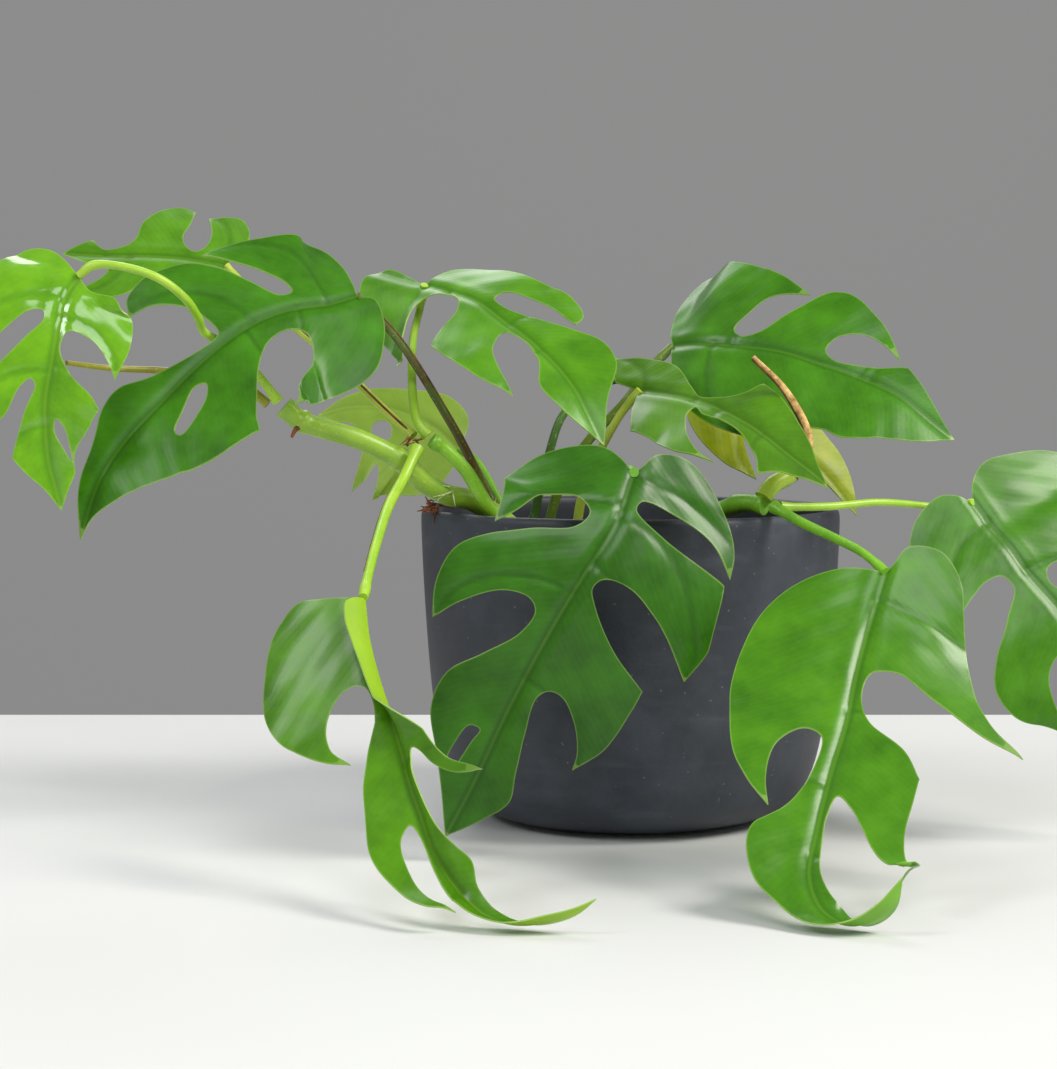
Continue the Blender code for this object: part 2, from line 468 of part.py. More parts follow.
class Blade:
    """Where the flat leaf's (along, across) points lie in space."""

    def __init__(self, rib, hold):
        table = smooth_through([place + facing for place, facing in rib], 1.0)
        self.middle = table[:, :3]
        runs = np.linalg.norm(np.diff(self.middle, axis=0), axis=1)
        self.along = np.concatenate([[0], np.cumsum(runs)])
        self.length = self.along[-1]
        tangent = np.gradient(self.middle, self.along, axis=0)
        self.tangent = tangent / np.linalg.norm(tangent, axis=1)[:, None]
        facing = table[:, 3:] - (table[:, 3:] * self.tangent).sum(1)[:, None] * self.tangent
        self.normal = facing / np.linalg.norm(facing, axis=1)[:, None]
        self.across = np.cross(self.tangent, self.normal)
        self.hold = np.array(hold, float)

    def frame(self, table, s):
        return np.stack([np.interp(s, self.along, table[:, k]) for k in range(3)], -1)

    def place(self, flat):
        """Each half rises from the rib by its fold angle and droops along a circular arc."""
        s, t = np.array(flat, float).T
        on_rib = np.clip(s, 0, self.length)
        middle = self.frame(self.middle, on_rib) + self.frame(self.tangent, on_rib) * (s - on_rib)[:, None]
        held = [np.interp(s, self.hold[:, 0], self.hold[:, k]) for k in (1, 2, 3, 4)]
        fold = np.radians(np.where(t > 0, held[0], held[2]))
        droop = np.radians(np.where(t > 0, held[1], held[3])) / 10
        droop = np.where(abs(droop) < 1e-5, 1e-5, droop)
        out = (np.sin(fold) - np.sin(fold - droop * abs(t))) / droop
        rise = (np.cos(fold - droop * abs(t)) - np.cos(fold)) / droop
        side = self.frame(self.across, on_rib) * (np.sign(t) * out)[:, None]
        return middle + side + self.frame(self.normal, on_rib) * rise[:, None]


def edge_loop(strokes, step):
    """The blade's closed edge: smooth inside a stroke, sharp where strokes meet."""
    loop = []
    start = None
    for stroke in strokes:
        points = stroke if start is None else (start,) + stroke
        loop.extend(smooth_through(points, step, 2)[:-1])
        start = stroke[-1]
    return np.array(loop)


def hole_loop(points, step):
    """A closed smooth hole."""
    ring = tuple(points)
    wrapped = ring[-2:] + ring + ring[:2]
    count_before = len(smooth_through(wrapped[:3], step, 2)) - 1
    whole = smooth_through(wrapped, step, 2)
    count_after = len(smooth_through(wrapped[-2:], step, 2)) - 1
    return whole[count_before:len(whole) - 1 - count_after]


def inside(points, loop):
    """True for each point inside the closed loop."""
    x, y = points[:, 0:1], points[:, 1:2]
    x0, y0 = loop.T
    x1, y1 = np.roll(loop, -1, axis=0).T
    rising = (y0 > y) != (y1 > y)
    run = np.where(y1 == y0, 1e-9, y1 - y0)
    return (rising & (x < (x1 - x0) * (y - y0) / run + x0)).sum(1) % 2 == 1


def distance_to(points, loop):
    """Distance from each point to the nearest corner or middle of the loop's stretches."""
    marks = np.vstack([loop, (loop + np.roll(loop, -1, axis=0)) / 2])
    return np.linalg.norm(points[:, None] - marks[None], axis=2).min(1)


def flat_leaf(blade, strokes, holes):
    """Triangles of the flat blade: its edge, its rib and an even grid inside."""
    outline = edge_loop(strokes, EDGE_STEP)
    openings = [hole_loop(hole, EDGE_STEP) for hole in holes]
    rib_count = round(blade.length / BLADE_GRID)
    rib = np.array([(blade.length * k / rib_count, 0) for k in range(1, rib_count)])
    low, high = outline.min(0), outline.max(0)
    rows = np.arange(math.floor(low[1] / BLADE_GRID), high[1] / BLADE_GRID + 1)
    columns = np.arange(low[0], high[0], BLADE_GRID)
    grid = np.array([(s, row * BLADE_GRID) for row in rows if row != 0 for s in columns])
    grid = grid[inside(grid, outline)]
    for loop in [outline] + openings:
        grid = grid[distance_to(grid, loop) > BLADE_GRID * 0.5]
    rib = rib[inside(rib, outline) & (distance_to(rib, outline) > 2.0)]
    loops = [outline] + openings
    points = list(outline)
    edges = [(k, (k + 1) % len(outline)) for k in range(len(outline))]
    for opening in openings:
        first = len(points)
        points.extend(opening)
        edges.extend((first + k, first + (k + 1) % len(opening)) for k in range(len(opening)))
    first = len(points)
    points.extend(rib)
    edges.extend((first + k, first + k + 1) for k in range(len(rib) - 1))
    points.extend(grid)
    verts, _, faces, _, _, _ = delaunay_2d_cdt([Vector(p) for p in points], edges, [], 0, 1e-4, False)
    flat = np.array([tuple(v) for v in verts])
    centres = np.array([flat[list(face)].mean(0) for face in faces])
    kept = inside(centres, loops[0])
    for opening in loops[1:]:
        kept &= ~inside(centres, opening)
    return flat, [face for face, keep in zip(faces, kept) if keep]


def build_leaf(name, rib, hold, edge, holes):
    """A blade: the flat leaf laid in space, then thickened to both sides."""
    blade = Blade(rib, hold)
    flat, faces = flat_leaf(blade, edge, holes)
    builder = bmesh.new()
    verts = [builder.verts.new(place * MM) for place in blade.place(flat)]
    for face in faces:
        builder.faces.new([verts[k] for k in face])
    bmesh.ops.delete(builder, geom=[v for v in builder.verts if not v.link_faces], context="VERTS")
    builder.normal_update()
    obj = add_mesh(name, builder)
    finish(name, obj, LEAF_GREEN[name.removeprefix("leaf_")], 0.35, math.radians(60))
    thick = obj.modifiers.new("thickness", "SOLIDIFY")
    thick.thickness = BLADE_THICKNESS * MM
    thick.offset = 0.0


def main():
    for old in list(bpy.data.objects):
        bpy.data.objects.remove(old)
    build_pot()
    build_soil()
    for name, (start, end, route) in {**PLANTED, **GROWN}.items():
        build_tube(name, start, end, route)
    for name, leaf in LEAVES.items():
        build_leaf(f"leaf_{name}", **leaf)


main()
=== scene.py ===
import math

import bpy
import numpy as np
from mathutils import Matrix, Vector, noise
from mathutils.geometry import delaunay_2d_cdt


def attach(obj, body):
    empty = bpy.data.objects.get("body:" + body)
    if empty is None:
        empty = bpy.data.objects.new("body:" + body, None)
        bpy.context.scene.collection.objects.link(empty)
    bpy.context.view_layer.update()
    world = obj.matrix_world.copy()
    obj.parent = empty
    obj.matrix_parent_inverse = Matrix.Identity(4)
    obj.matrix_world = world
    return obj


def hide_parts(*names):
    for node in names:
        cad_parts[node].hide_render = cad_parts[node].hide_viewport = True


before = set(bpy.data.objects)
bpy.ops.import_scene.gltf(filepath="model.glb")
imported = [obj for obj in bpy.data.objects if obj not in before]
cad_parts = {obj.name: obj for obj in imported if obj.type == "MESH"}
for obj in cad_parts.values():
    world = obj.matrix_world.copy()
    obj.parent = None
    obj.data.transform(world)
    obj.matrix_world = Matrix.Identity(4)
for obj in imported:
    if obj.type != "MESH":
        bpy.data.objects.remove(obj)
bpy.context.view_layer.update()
bpy.ops.object.select_all(action="DESELECT")


# ---- Table top and wall ------------------------------------------------------------------------
# A smooth white table top, its back edge 27 cm behind the pot, and a plain grey wall well behind it.
# They are the studio and no part of the plant.
def linear(hex_colour):
    """sRGB hex to linear RGBA."""
    parts = [int(hex_colour[k:k + 2], 16) / 255 for k in (0, 2, 4)]
    return [p / 12.92 if p <= 0.04045 else ((p + 0.055) / 1.055) ** 2.4 for p in parts] + [1.0]


def new_material(name):
    """An empty Principled material: its tree and its shader."""
    material = bpy.data.materials.new(name)
    material.use_nodes = True
    return material, material.node_tree, material.node_tree.nodes["Principled BSDF"]


def flat_sheet(name, size_x, size_y, centre, turn_x, hex_colour, glow="000000"):
    """A flat sheet of the studio. Its glow stands in for even light on it."""
    bpy.ops.mesh.primitive_plane_add(size=1, location=centre, rotation=(turn_x, 0, 0))
    sheet = bpy.context.object
    sheet.name = name
    sheet.scale = (size_x, size_y, 1)
    bpy.ops.object.transform_apply(location=True, rotation=True, scale=True)
    material, _, shader = new_material(name)
    shader.inputs["Base Color"].default_value = linear(hex_colour)
    shader.inputs["Roughness"].default_value = 0.6
    shader.inputs["Emission Color"].default_value = linear(glow)
    shader.inputs["Emission Strength"].default_value = 1.0
    sheet.data.materials.append(material)
    bpy.ops.object.select_all(action="DESELECT")


TABLE_BACK = 0.274
flat_sheet("table_top", 6.0, 3.0, (0, TABLE_BACK - 1.5, 0), 0, "d6d8d9")
flat_sheet("wall", 12.0, 6.0, (0, 2.6, 0.6), math.pi / 2, "181818", "868686")


# ---- Pot ---------------------------------------------------------------------------------------
# A cast pot with a rounded heel and a soft lip, in matt through-coloured charcoal stoneware.
# A disc is extruded up the outside, over the lip and down the inside, then subdivided.
MM = 0.001


def add(tree, kind, settings=None, **inputs):
    """Adds a node. An input named i0, i1 ... or by its own name takes a value or a node's output."""
    made = tree.nodes.new(kind)
    for key, value in (settings or {}).items():
        setattr(made, key, value)
    for key, value in inputs.items():
        socket = made.inputs[int(key[1:])] if key[1:].isdigit() else made.inputs[key.replace("_", " ")]
        if isinstance(value, bpy.types.NodeSocket):
            tree.links.new(value, socket)
        else:
            socket.default_value = value
    return made


def ride_as(piece, node):
    """Rides on the one body and stands for the CAD node, whose part it hides."""
    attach(piece, "root")
    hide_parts(node)


POT_PROFILE = ((38, 0), (43, 0.1), (50, 1.2), (57, 3.6), (62.5, 7.4), (66.8, 12), (70.2, 18.5),
               (72.6, 27), (74.6, 38), (76.1, 51), (77.4, 66), (78.6, 84), (79.5, 102), (79.8, 112),
               (79.9, 116.2), (79.2, 118.1), (77.8, 119), (76.4, 118.2), (75.6, 116.4), (75.3, 110),
               (75, 102), (74.1, 84), (72.9, 66), (71.6, 51), (70.1, 38), (68, 27), (64, 16), (58, 9.5),
               (50, 7))
bpy.ops.mesh.primitive_circle_add(vertices=96, radius=POT_PROFILE[0][0] * MM, fill_type="TRIFAN")
pot = bpy.context.object
pot.name = "charcoal_pot"
bpy.ops.object.mode_set(mode="EDIT")
bpy.ops.mesh.select_all(action="DESELECT")
bpy.ops.mesh.select_mode(type="EDGE")
bpy.ops.mesh.select_non_manifold(extend=False)
for (r0, z0), (r1, z1) in zip(POT_PROFILE, POT_PROFILE[1:]):
    bpy.ops.mesh.extrude_region_move(TRANSFORM_OT_translate={"value": (0, 0, (z1 - z0) * MM)})
    bpy.ops.transform.resize(value=(r1 / r0, r1 / r0, 1), center_override=(0, 0, z1 * MM))
bpy.ops.mesh.edge_face_add()
bpy.ops.mesh.select_all(action="SELECT")
bpy.ops.mesh.normals_make_consistent(inside=False)
bpy.ops.object.mode_set(mode="OBJECT")
smooth = pot.modifiers.new("smooth", "SUBSURF")
smooth.levels = smooth.render_levels = 1
bpy.ops.object.modifier_apply(modifier="smooth")
bpy.ops.object.shade_smooth_by_angle(angle=math.radians(50))

# Stoneware: fired matt clay. It gives a dull, broad sheen, with paler smudges 20 to 40 mm across, fine
# grit under 1 mm and a few chalky specks.
stoneware, tree, shader = new_material("matt_charcoal_stoneware")
place = add(tree, "ShaderNodeTexCoord").outputs["Object"]
smudge = add(tree, "ShaderNodeTexNoise", Vector=place, Scale=38.0, Detail=5.0, Roughness=0.62)
streak_place = add(tree, "ShaderNodeMapping", Vector=place, Scale=(30.0, 30.0, 140.0))
streak = add(tree, "ShaderNodeTexNoise", Vector=streak_place.outputs[0], Scale=1.0, Detail=4.0)
grit = add(tree, "ShaderNodeTexNoise", Vector=place, Scale=1300.0, Detail=2.0)
speck = add(tree, "ShaderNodeTexVoronoi", Vector=place, Scale=210.0)
smudge_part = add(tree, "ShaderNodeMapRange", Value=smudge.outputs[0], From_Min=0.42,
                  From_Max=0.72).outputs[0]
clay = add(tree, "ShaderNodeMix", {"data_type": "RGBA"}, Factor=smudge_part, i6=linear("2b2f3a"),
           i7=linear("40454f")).outputs[2]
streak_part = add(tree, "ShaderNodeMapRange", Value=streak.outputs[0], From_Min=0.55, From_Max=0.8,
                  To_Max=0.35).outputs[0]
clay = add(tree, "ShaderNodeMix", {"data_type": "RGBA"}, Factor=streak_part, i6=clay,
           i7=linear("585c66")).outputs[2]
speck_part = add(tree, "ShaderNodeMapRange", Value=speck.outputs[0], From_Min=0.09, From_Max=0.05,
                 To_Max=0.4).outputs[0]
clay = add(tree, "ShaderNodeMix", {"data_type": "RGBA"}, Factor=speck_part, i6=clay,
           i7=linear("8a8b8c")).outputs[2]
tree.links.new(clay, shader.inputs["Base Color"])
matt = add(tree, "ShaderNodeMapRange", Value=smudge.outputs[0], From_Min=0.3, From_Max=0.7, To_Min=0.46,
           To_Max=0.62).outputs[0]
tree.links.new(matt, shader.inputs["Roughness"])
relief = add(tree, "ShaderNodeBump", Height=grit.outputs[0], Strength=0.25, Distance=0.0003)
relief = add(tree, "ShaderNodeBump", Height=smudge.outputs[0], Strength=0.35, Distance=0.0012,
             Normal=relief.outputs[0])
tree.links.new(relief.outputs[0], shader.inputs["Normal"])
pot.data.materials.append(stoneware)
ride_as(pot, "pot")
bpy.ops.object.select_all(action="DESELECT")


# ---- Potting soil ------------------------------------------------------------------------------
# Damp peat-based compost, 15 mm below the rim. A dense disc is thrown up into crumbs by noise, and
# its sides go down inside the pot.
SOIL_TOP = 104.0
SOIL_RADIUS = 74.0
bpy.ops.mesh.primitive_circle_add(vertices=128, radius=0.4 * MM, fill_type="TRIFAN",
                                  location=(0, 0, SOIL_TOP * MM))
soil = bpy.context.object
soil.name = "compost"
bpy.ops.object.transform_apply(location=True, rotation=False, scale=False)
bpy.ops.object.mode_set(mode="EDIT")
bpy.ops.mesh.select_mode(type="EDGE")
bpy.ops.mesh.select_non_manifold(extend=False)
radii = [0.4] + list(np.arange(2.0, SOIL_RADIUS, 1.3)) + [SOIL_RADIUS + 0.3]
for r0, r1 in zip(radii, radii[1:]):
    bpy.ops.mesh.extrude_region_move(TRANSFORM_OT_translate={"value": (0, 0, 0)})
    bpy.ops.transform.resize(value=(r1 / r0, r1 / r0, 1), center_override=(0, 0, SOIL_TOP * MM))
for drop, shrink in ((40, 0.97), (40, 0.95), (13, 0.87)):
    bpy.ops.mesh.extrude_region_move(TRANSFORM_OT_translate={"value": (0, 0, -drop * MM)})
    bpy.ops.transform.resize(value=(shrink, shrink, 1), center_override=(0, 0, 0))
bpy.ops.mesh.edge_face_add()
bpy.ops.mesh.select_all(action="SELECT")
bpy.ops.mesh.normals_make_consistent(inside=False)
bpy.ops.object.mode_set(mode="OBJECT")
for vert in soil.data.vertices:
    if vert.co.z > (SOIL_TOP - 1) * MM:
        lump = noise.noise(vert.co * 90) * 1.6 + noise.noise(vert.co * 330) * 1.3
        crumb = noise.noise(vert.co * 800) * 0.7
        reach = vert.co.xy.length / (SOIL_RADIUS * MM)
        vert.co.z += (1.6 * (1 - reach ** 2) + (lump + crumb) * min(1, (1.02 - reach) * 12)) * MM
bpy.ops.object.shade_smooth_by_angle(angle=math.radians(40))

# Damp peat: dull and nearly black, with paler brown fibres and crumbs 2 to 3 mm across.
compost, tree, shader = new_material("damp_peat_compost")
place = add(tree, "ShaderNodeTexCoord").outputs["Object"]
crumbs = add(tree, "ShaderNodeTexNoise", Vector=place, Scale=420.0, Detail=6.0, Roughness=0.7)
crumb_part = add(tree, "ShaderNodeMapRange", Value=crumbs.outputs[0], From_Min=0.35,
                 From_Max=0.7).outputs[0]
earth = add(tree, "ShaderNodeMix", {"data_type": "RGBA"}, Factor=crumb_part, i6=linear("17110d"),
            i7=linear("4a3526")).outputs[2]
tree.links.new(earth, shader.inputs["Base Color"])
shader.inputs["Roughness"].default_value = 0.9
relief = add(tree, "ShaderNodeBump", Height=crumbs.outputs[0], Strength=0.8, Distance=0.0015)
tree.links.new(relief.outputs[0], shader.inputs["Normal"])
soil.data.materials.append(compost)
ride_as(soil, "soil")
bpy.ops.object.select_all(action="DESELECT")


# ---- Stems -------------------------------------------------------------------------------------
# Three juicy green stems, round, with a swollen ring and a corky scar at each node. Each is a beveled
# curve whose radius swells at its nodes, made a mesh.
def smooth_through(points, step, knot_columns=3):
    """Centripetal Catmull-Rom curve through the points, in stretches no longer than step."""
    pts = np.array(points, float)
    pts = np.vstack([2 * pts[0] - pts[1], pts, 2 * pts[-1] - pts[-2]])
    curve = []
    for i in range(1, len(pts) - 2):
        p = pts[i - 1:i + 3]
        chords = np.linalg.norm(np.diff(p[:, :knot_columns], axis=0), axis=1)
        k0, k1, k2, k3 = np.concatenate([[0], np.cumsum(np.sqrt(np.maximum(chords, 1e-9)))])
        count = max(1, math.ceil(chords[1] / step))
        for j in range(count):
            k = k1 + (k2 - k1) * j / count
            a1 = ((k1 - k) * p[0] + (k - k0) * p[1]) / (k1 - k0)
            a2 = ((k2 - k) * p[1] + (k - k1) * p[2]) / (k2 - k1)
            a3 = ((k3 - k) * p[2] + (k - k2) * p[3]) / (k3 - k2)
            b1 = ((k2 - k) * a1 + (k - k0) * a2) / (k2 - k0)
            b2 = ((k3 - k) * a2 + (k - k1) * a3) / (k3 - k1)
            curve.append(((k2 - k) * b1 + (k - k1) * b2) / (k2 - k1))
    curve.append(pts[-2])
    return np.array(curve)


def planted(x, y, *rest):
    """A route that starts upright in the soil."""
    return ((x, y, SOIL_TOP - 11), (x, y, SOIL_TOP + 2)) + rest


def tube(name, route, start, end, material, swellings=(), step=1.2, side=None, out=0.0):
    """A round stem through the route. A swelling is (place along it from 0 to 1, extra radius, half
    width in mm). With side, the tube runs beside the route, that far out in that direction."""
    middle = smooth_through(route, step)
    run = np.concatenate([[0], np.cumsum(np.linalg.norm(np.diff(middle, axis=0), axis=1))])
    radius = start + (end - start) * run / run[-1]
    for where, extra, half_width in swellings:
        radius = radius + extra * np.exp(-((run - where * run[-1]) / half_width) ** 2)
    if side is not None:
        way = np.gradient(middle, axis=0)
        way /= np.linalg.norm(way, axis=1)[:, None]
        beside = np.array(side, float) - (way @ np.array(side, float))[:, None] * way
        middle = middle + beside / np.linalg.norm(beside, axis=1)[:, None] * out
    curve = bpy.data.curves.new(name, "CURVE")
    curve.dimensions = "3D"
    curve.bevel_depth = MM
    curve.bevel_resolution = 6
    curve.use_fill_caps = True
    spline = curve.splines.new("POLY")
    spline.points.add(len(middle) - 1)
    for point, place, size in zip(spline.points, middle, radius):
        point.co = (*(place * MM), 1)
        point.radius = size
    piece = bpy.data.objects.new(name, curve)
    bpy.context.collection.objects.link(piece)
    bpy.context.view_layer.objects.active = piece
    piece.select_set(True)
    bpy.ops.object.convert(target="MESH")
    piece = bpy.context.object
    piece.data.shade_smooth()
    piece.data.set_sharp_from_angle(angle=math.radians(60))
    piece.data.materials.clear()
    piece.data.materials.append(material)
    bpy.ops.object.select_all(action="DESELECT")
    return piece


def stem_skin(name, green, shade, blush=None):
    """Living stem skin: smooth and waxy, a little translucent, with streaks and pale pores about 1 mm
    apart. A blush colour darkens it in patches 15 mm long."""
    material, tree, shader = new_material(name)
    place = add(tree, "ShaderNodeTexCoord").outputs["Object"]
    patch = add(tree, "ShaderNodeTexNoise", Vector=place, Scale=70.0, Detail=3.0)
    pores = add(tree, "ShaderNodeTexNoise", Vector=place, Scale=900.0, Detail=2.0)
    part = add(tree, "ShaderNodeMapRange", Value=patch.outputs[0], From_Min=0.35,
               From_Max=0.65).outputs[0]
    skin = add(tree, "ShaderNodeMix", {"data_type": "RGBA"}, Factor=part, i6=linear(green),
               i7=linear(shade)).outputs[2]
    if blush:
        blotch = add(tree, "ShaderNodeTexNoise", Vector=place, Scale=45.0, Detail=4.0)
        part = add(tree, "ShaderNodeMapRange", Value=blotch.outputs[0], From_Min=0.5,
                   From_Max=0.62).outputs[0]
        skin = add(tree, "ShaderNodeMix", {"data_type": "RGBA"}, Factor=part, i6=skin,
                   i7=linear(blush)).outputs[2]
    pore_part = add(tree, "ShaderNodeMapRange", Value=pores.outputs[0], From_Min=0.6, From_Max=0.75,
                    To_Max=0.3).outputs[0]
    skin = add(tree, "ShaderNodeMix", {"data_type": "RGBA"}, Factor=pore_part, i6=skin,
               i7=linear("d6dfa0")).outputs[2]
    tree.links.new(skin, shader.inputs["Base Color"])
    shader.inputs["Roughness"].default_value = 0.36
    shader.inputs["Subsurface Weight"].default_value = 0.15
    shader.inputs["Subsurface Radius"].default_value = (0.0015, 0.0025, 0.0005)
    relief = add(tree, "ShaderNodeBump", Height=pores.outputs[0], Strength=0.15, Distance=0.0002)
    tree.links.new(relief.outputs[0], shader.inputs["Normal"])
    return material


old_stem = stem_skin("waxy_green_stem", "9cc23a", "79a428")
bright_stem = stem_skin("bright_green_stem", "8fc92a", "74b01a")
right_stem = stem_skin("deep_green_stem", "78b424", "5f981c", "8a9a3a")
STEM_LEFT = planted(-42, -22, (-45, -24, 112), (-52, -29, 118), (-60, -33, 123), (-69, -39, 125.5),
                    (-77, -43, 130), (-85, -46, 138), (-100, -50, 146), (-121, -54, 153),
                    (-127, -55, 158))
STEM_FRONT_LEFT = planted(-43, -39, (-46, -40, 113), (-54, -43, 122), (-62, -45, 135), (-70, -47, 143),
                          (-74, -48, 146))
STEM_RIGHT = planted(18, -28, (20, -31, 110), (25, -39, 117), (33, -48, 121), (39, -56, 123.5),
                     (46, -61, 123))
ride_as(tube("thick_left_stem", STEM_LEFT, 4.0, 3.7, old_stem,
             ((0.62, 0.9, 2.2), (0.93, 0.9, 1.6), (0.995, 0.5, 2.0))), "stem_left")
ride_as(tube("thin_front_left_stem", STEM_FRONT_LEFT, 2.9, 2.4, bright_stem, ((0.97, 0.8, 2.0),)),
        "stem_front_left")
ride_as(tube("right_stem", STEM_RIGHT, 3.3, 3.2, right_stem, ((0.8, 0.5, 3.0), (0.99, 0.7, 2.5))),
        "stem_right")


# ---- Petioles ----------------------------------------------------------------------------------
# The slim leaf stalks, channelled and firm, arching from the stems or the soil to the leaf bases. A
# bent knee just below the blade is a little thicker.
dark_stalk = stem_skin("dark_olive_stalk", "5c7a26", "46591c", "5a4a1e")
olive_stalk = stem_skin("olive_stalk", "6f8a26", "54701e")
lime_stalk = stem_skin("lime_stalk", "a6cc3c", "8cbc26")
yellow_stalk = stem_skin("yellow_green_stalk", "bccb4a", "9db83a")
green_stalk = stem_skin("green_stalk", "76b41e", "5e9a1a")
deep_stalk = stem_skin("deep_green_stalk", "4b7a22", "3c641c")
PLANTED_PETIOLES = {
    "petiole_upper_left": (dark_stalk, 1.9, 1.4,
                           ((-50, -14), (-54, -18, 123), (-62, -25, 141), (-70, -32, 156),
                            (-85, -46, 181), (-95, -54, 193), (-100, -58, 198))),
    "petiole_front_centre": (green_stalk, 2.3, 1.6,
                             ((-8, -36), (-7, -40, 118), (-5, -56, 132), (-3, -72, 136), (-2, -82, 135),
                              (-2, -88, 136))),
    "petiole_upper_right": (olive_stalk, 2.1, 1.5,
                            ((-32, -6), (-26, -6, 129), (-16, -4, 144), (-2, -3, 159), (8, -3, 172),
                             (16, -1, 180))),
    "petiole_middle_right": (yellow_stalk, 2.0, 1.4,
                             ((-21, -22), (-19, -23, 123), (-13, -24, 139), (-5, -27, 154),
                              (2.4, -30, 163.7))),
    "petiole_back_right": (deep_stalk, 1.9, 1.3,
                           ((-38, 8), (-31, 10, 138), (-25, 14, 154), (-11, 22, 165), (9, 27, 167),
                            (27, 24, 161))),
    "petiole_back_low": (green_stalk, 1.8, 1.3,
                         ((-44, 8), (-52, 14, 124), (-60, 24, 136), (-66, 30, 139))),
}
GROWN_PETIOLES = {
    "petiole_far_left": (lime_stalk, 1.7, 1.4,
                         ((-129, -56, 160), (-134, -58, 167), (-141, -61, 175), (-149, -66, 181.5),
                          (-153.5, -73, 185), (-154.5, -81, 190), (-158, -89, 196.5), (-166, -94, 203),
                          (-178, -95, 207), (-189, -93, 207.5), (-194, -92, 204))),
    "petiole_upper_middle": (lime_stalk, 1.7, 1.4,
                             ((-75.5, -46.5, 147.5), (-79, -46, 152), (-81, -40, 160), (-82, -28, 173),
                              (-82, -12, 184), (-80, -3, 194), (-78, -8, 203))),
    "petiole_back_left": (yellow_stalk, 1.6, 1.3,
                          ((-81, -43, 147), (-91, -38, 156), (-103, -30, 167), (-124, 0, 184),
                           (-145, 48, 196), (-156, 71, 206), (-162, 74, 213))),
    "petiole_low_left": (lime_stalk, 2.1, 1.6,
                         ((-79, -52, 143), (-84, -62, 132), (-88, -76, 124), (-91, -98, 113),
                          (-93, -116, 103), (-94, -128, 96))),
    "petiole_front_right": (green_stalk, 1.9, 1.4,
                            ((49, -64, 122.5), (57, -74, 118), (68, -88, 113), (76, -99, 109),
                             (83, -110, 103))),
    "petiole_far_right": (lime_stalk, 1.5, 1.2,
                          ((52, -58.5, 122), (70, -54, 122), (89, -46, 123), (109, -36, 121),
                           (118, -35, 120), (124, -42, 123))),
}
for name, (skin, start, end, route) in PLANTED_PETIOLES.items():
    ride_as(tube(f"stalk_{name[8:]}", planted(*route[0], *route[1:]), start, end, skin,
                 ((0.95, 0.35, 4.0),)), name)
for name, (skin, start, end, route) in GROWN_PETIOLES.items():
    ride_as(tube(f"stalk_{name[8:]}", route, start, end, skin, ((0.0, 0.6, 3.0), (0.95, 0.35, 4.0))),
            name)


# ---- Growing tip and young shoot ---------------------------------------------------------------
# The left stem ends in a thin olive tip, and the right stem carries a cut green stub with a brown band.
# Both are soft young growth with a smooth skin, and are beveled curves like the stems.
olive_tip = stem_skin("olive_growing_tip", "a9a832", "8a8420")
shoot_skin = stem_skin("young_shoot_skin", "a3bc34", "7fa01e")
GROWING_TIP = ((-133, -53, 159), (-141, -52, 165), (-155, -55, 169), (-169, -60, 171), (-187, -70, 172),
               (-200, -84, 174))
YOUNG_SHOOT = ((49, -59, 130), (54, -56.5, 132.5), (59, -54, 135.5))
ride_as(tube("thin_growing_tip", GROWING_TIP, 1.8, 0.9, olive_tip, ((0.45, 0.3, 1.2),)), "growing_tip")
ride_as(tube("green_shoot_stub", ((45.5, -61, 125.5),) + YOUNG_SHOOT, 3.4, 3.0, shoot_skin,
             ((0.95, 0.3, 1.0),)), "young_shoot")


# ---- Dried sheaths and fibres ------------------------------------------------------------------
# Old leaf sheaths dried to brown paper: a long spike on the shoot, dark edges along some stalks, and
# torn fibres at the nodes and on the rim. Thin tapering tubes.
def dry_skin(name, dark, light):
    """Dry plant skin: matt, with lengthwise fibres about 0.5 mm apart."""
    material, tree, shader = new_material(name)
    place = add(tree, "ShaderNodeTexCoord").outputs["Object"]
    fibres = add(tree, "ShaderNodeTexNoise", Vector=place, Scale=260.0, Detail=5.0, Roughness=0.7)
    part = add(tree, "ShaderNodeMapRange", Value=fibres.outputs[0], From_Min=0.35,
               From_Max=0.62).outputs[0]
    skin = add(tree, "ShaderNodeMix", {"data_type": "RGBA"}, Factor=part, i6=linear(dark),
               i7=linear(light)).outputs[2]
    tree.links.new(skin, shader.inputs["Base Color"])
    shader.inputs["Roughness"].default_value = 0.75
    relief = add(tree, "ShaderNodeBump", Height=fibres.outputs[0], Strength=0.5, Distance=0.0004)
    tree.links.new(relief.outputs[0], shader.inputs["Normal"])
    return material


papery = dry_skin("papery_brown_sheath", "8a5c26", "e2c07a")
dark_edge = dry_skin("dark_dried_edge", "2e1c0c", "7a4a22")
rust_fibre = dry_skin("rusty_fibre", "4a2414", "9a5a34")
pale_fibre = dry_skin("silvery_fibre", "8a8a62", "d0cfa8")


def trim(name, route, start, end, material, slot_name, **more):
    """A small dried piece that stands for no CAD node."""
    piece = tube(name, route, start, end, material, **more)
    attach(piece, "root")


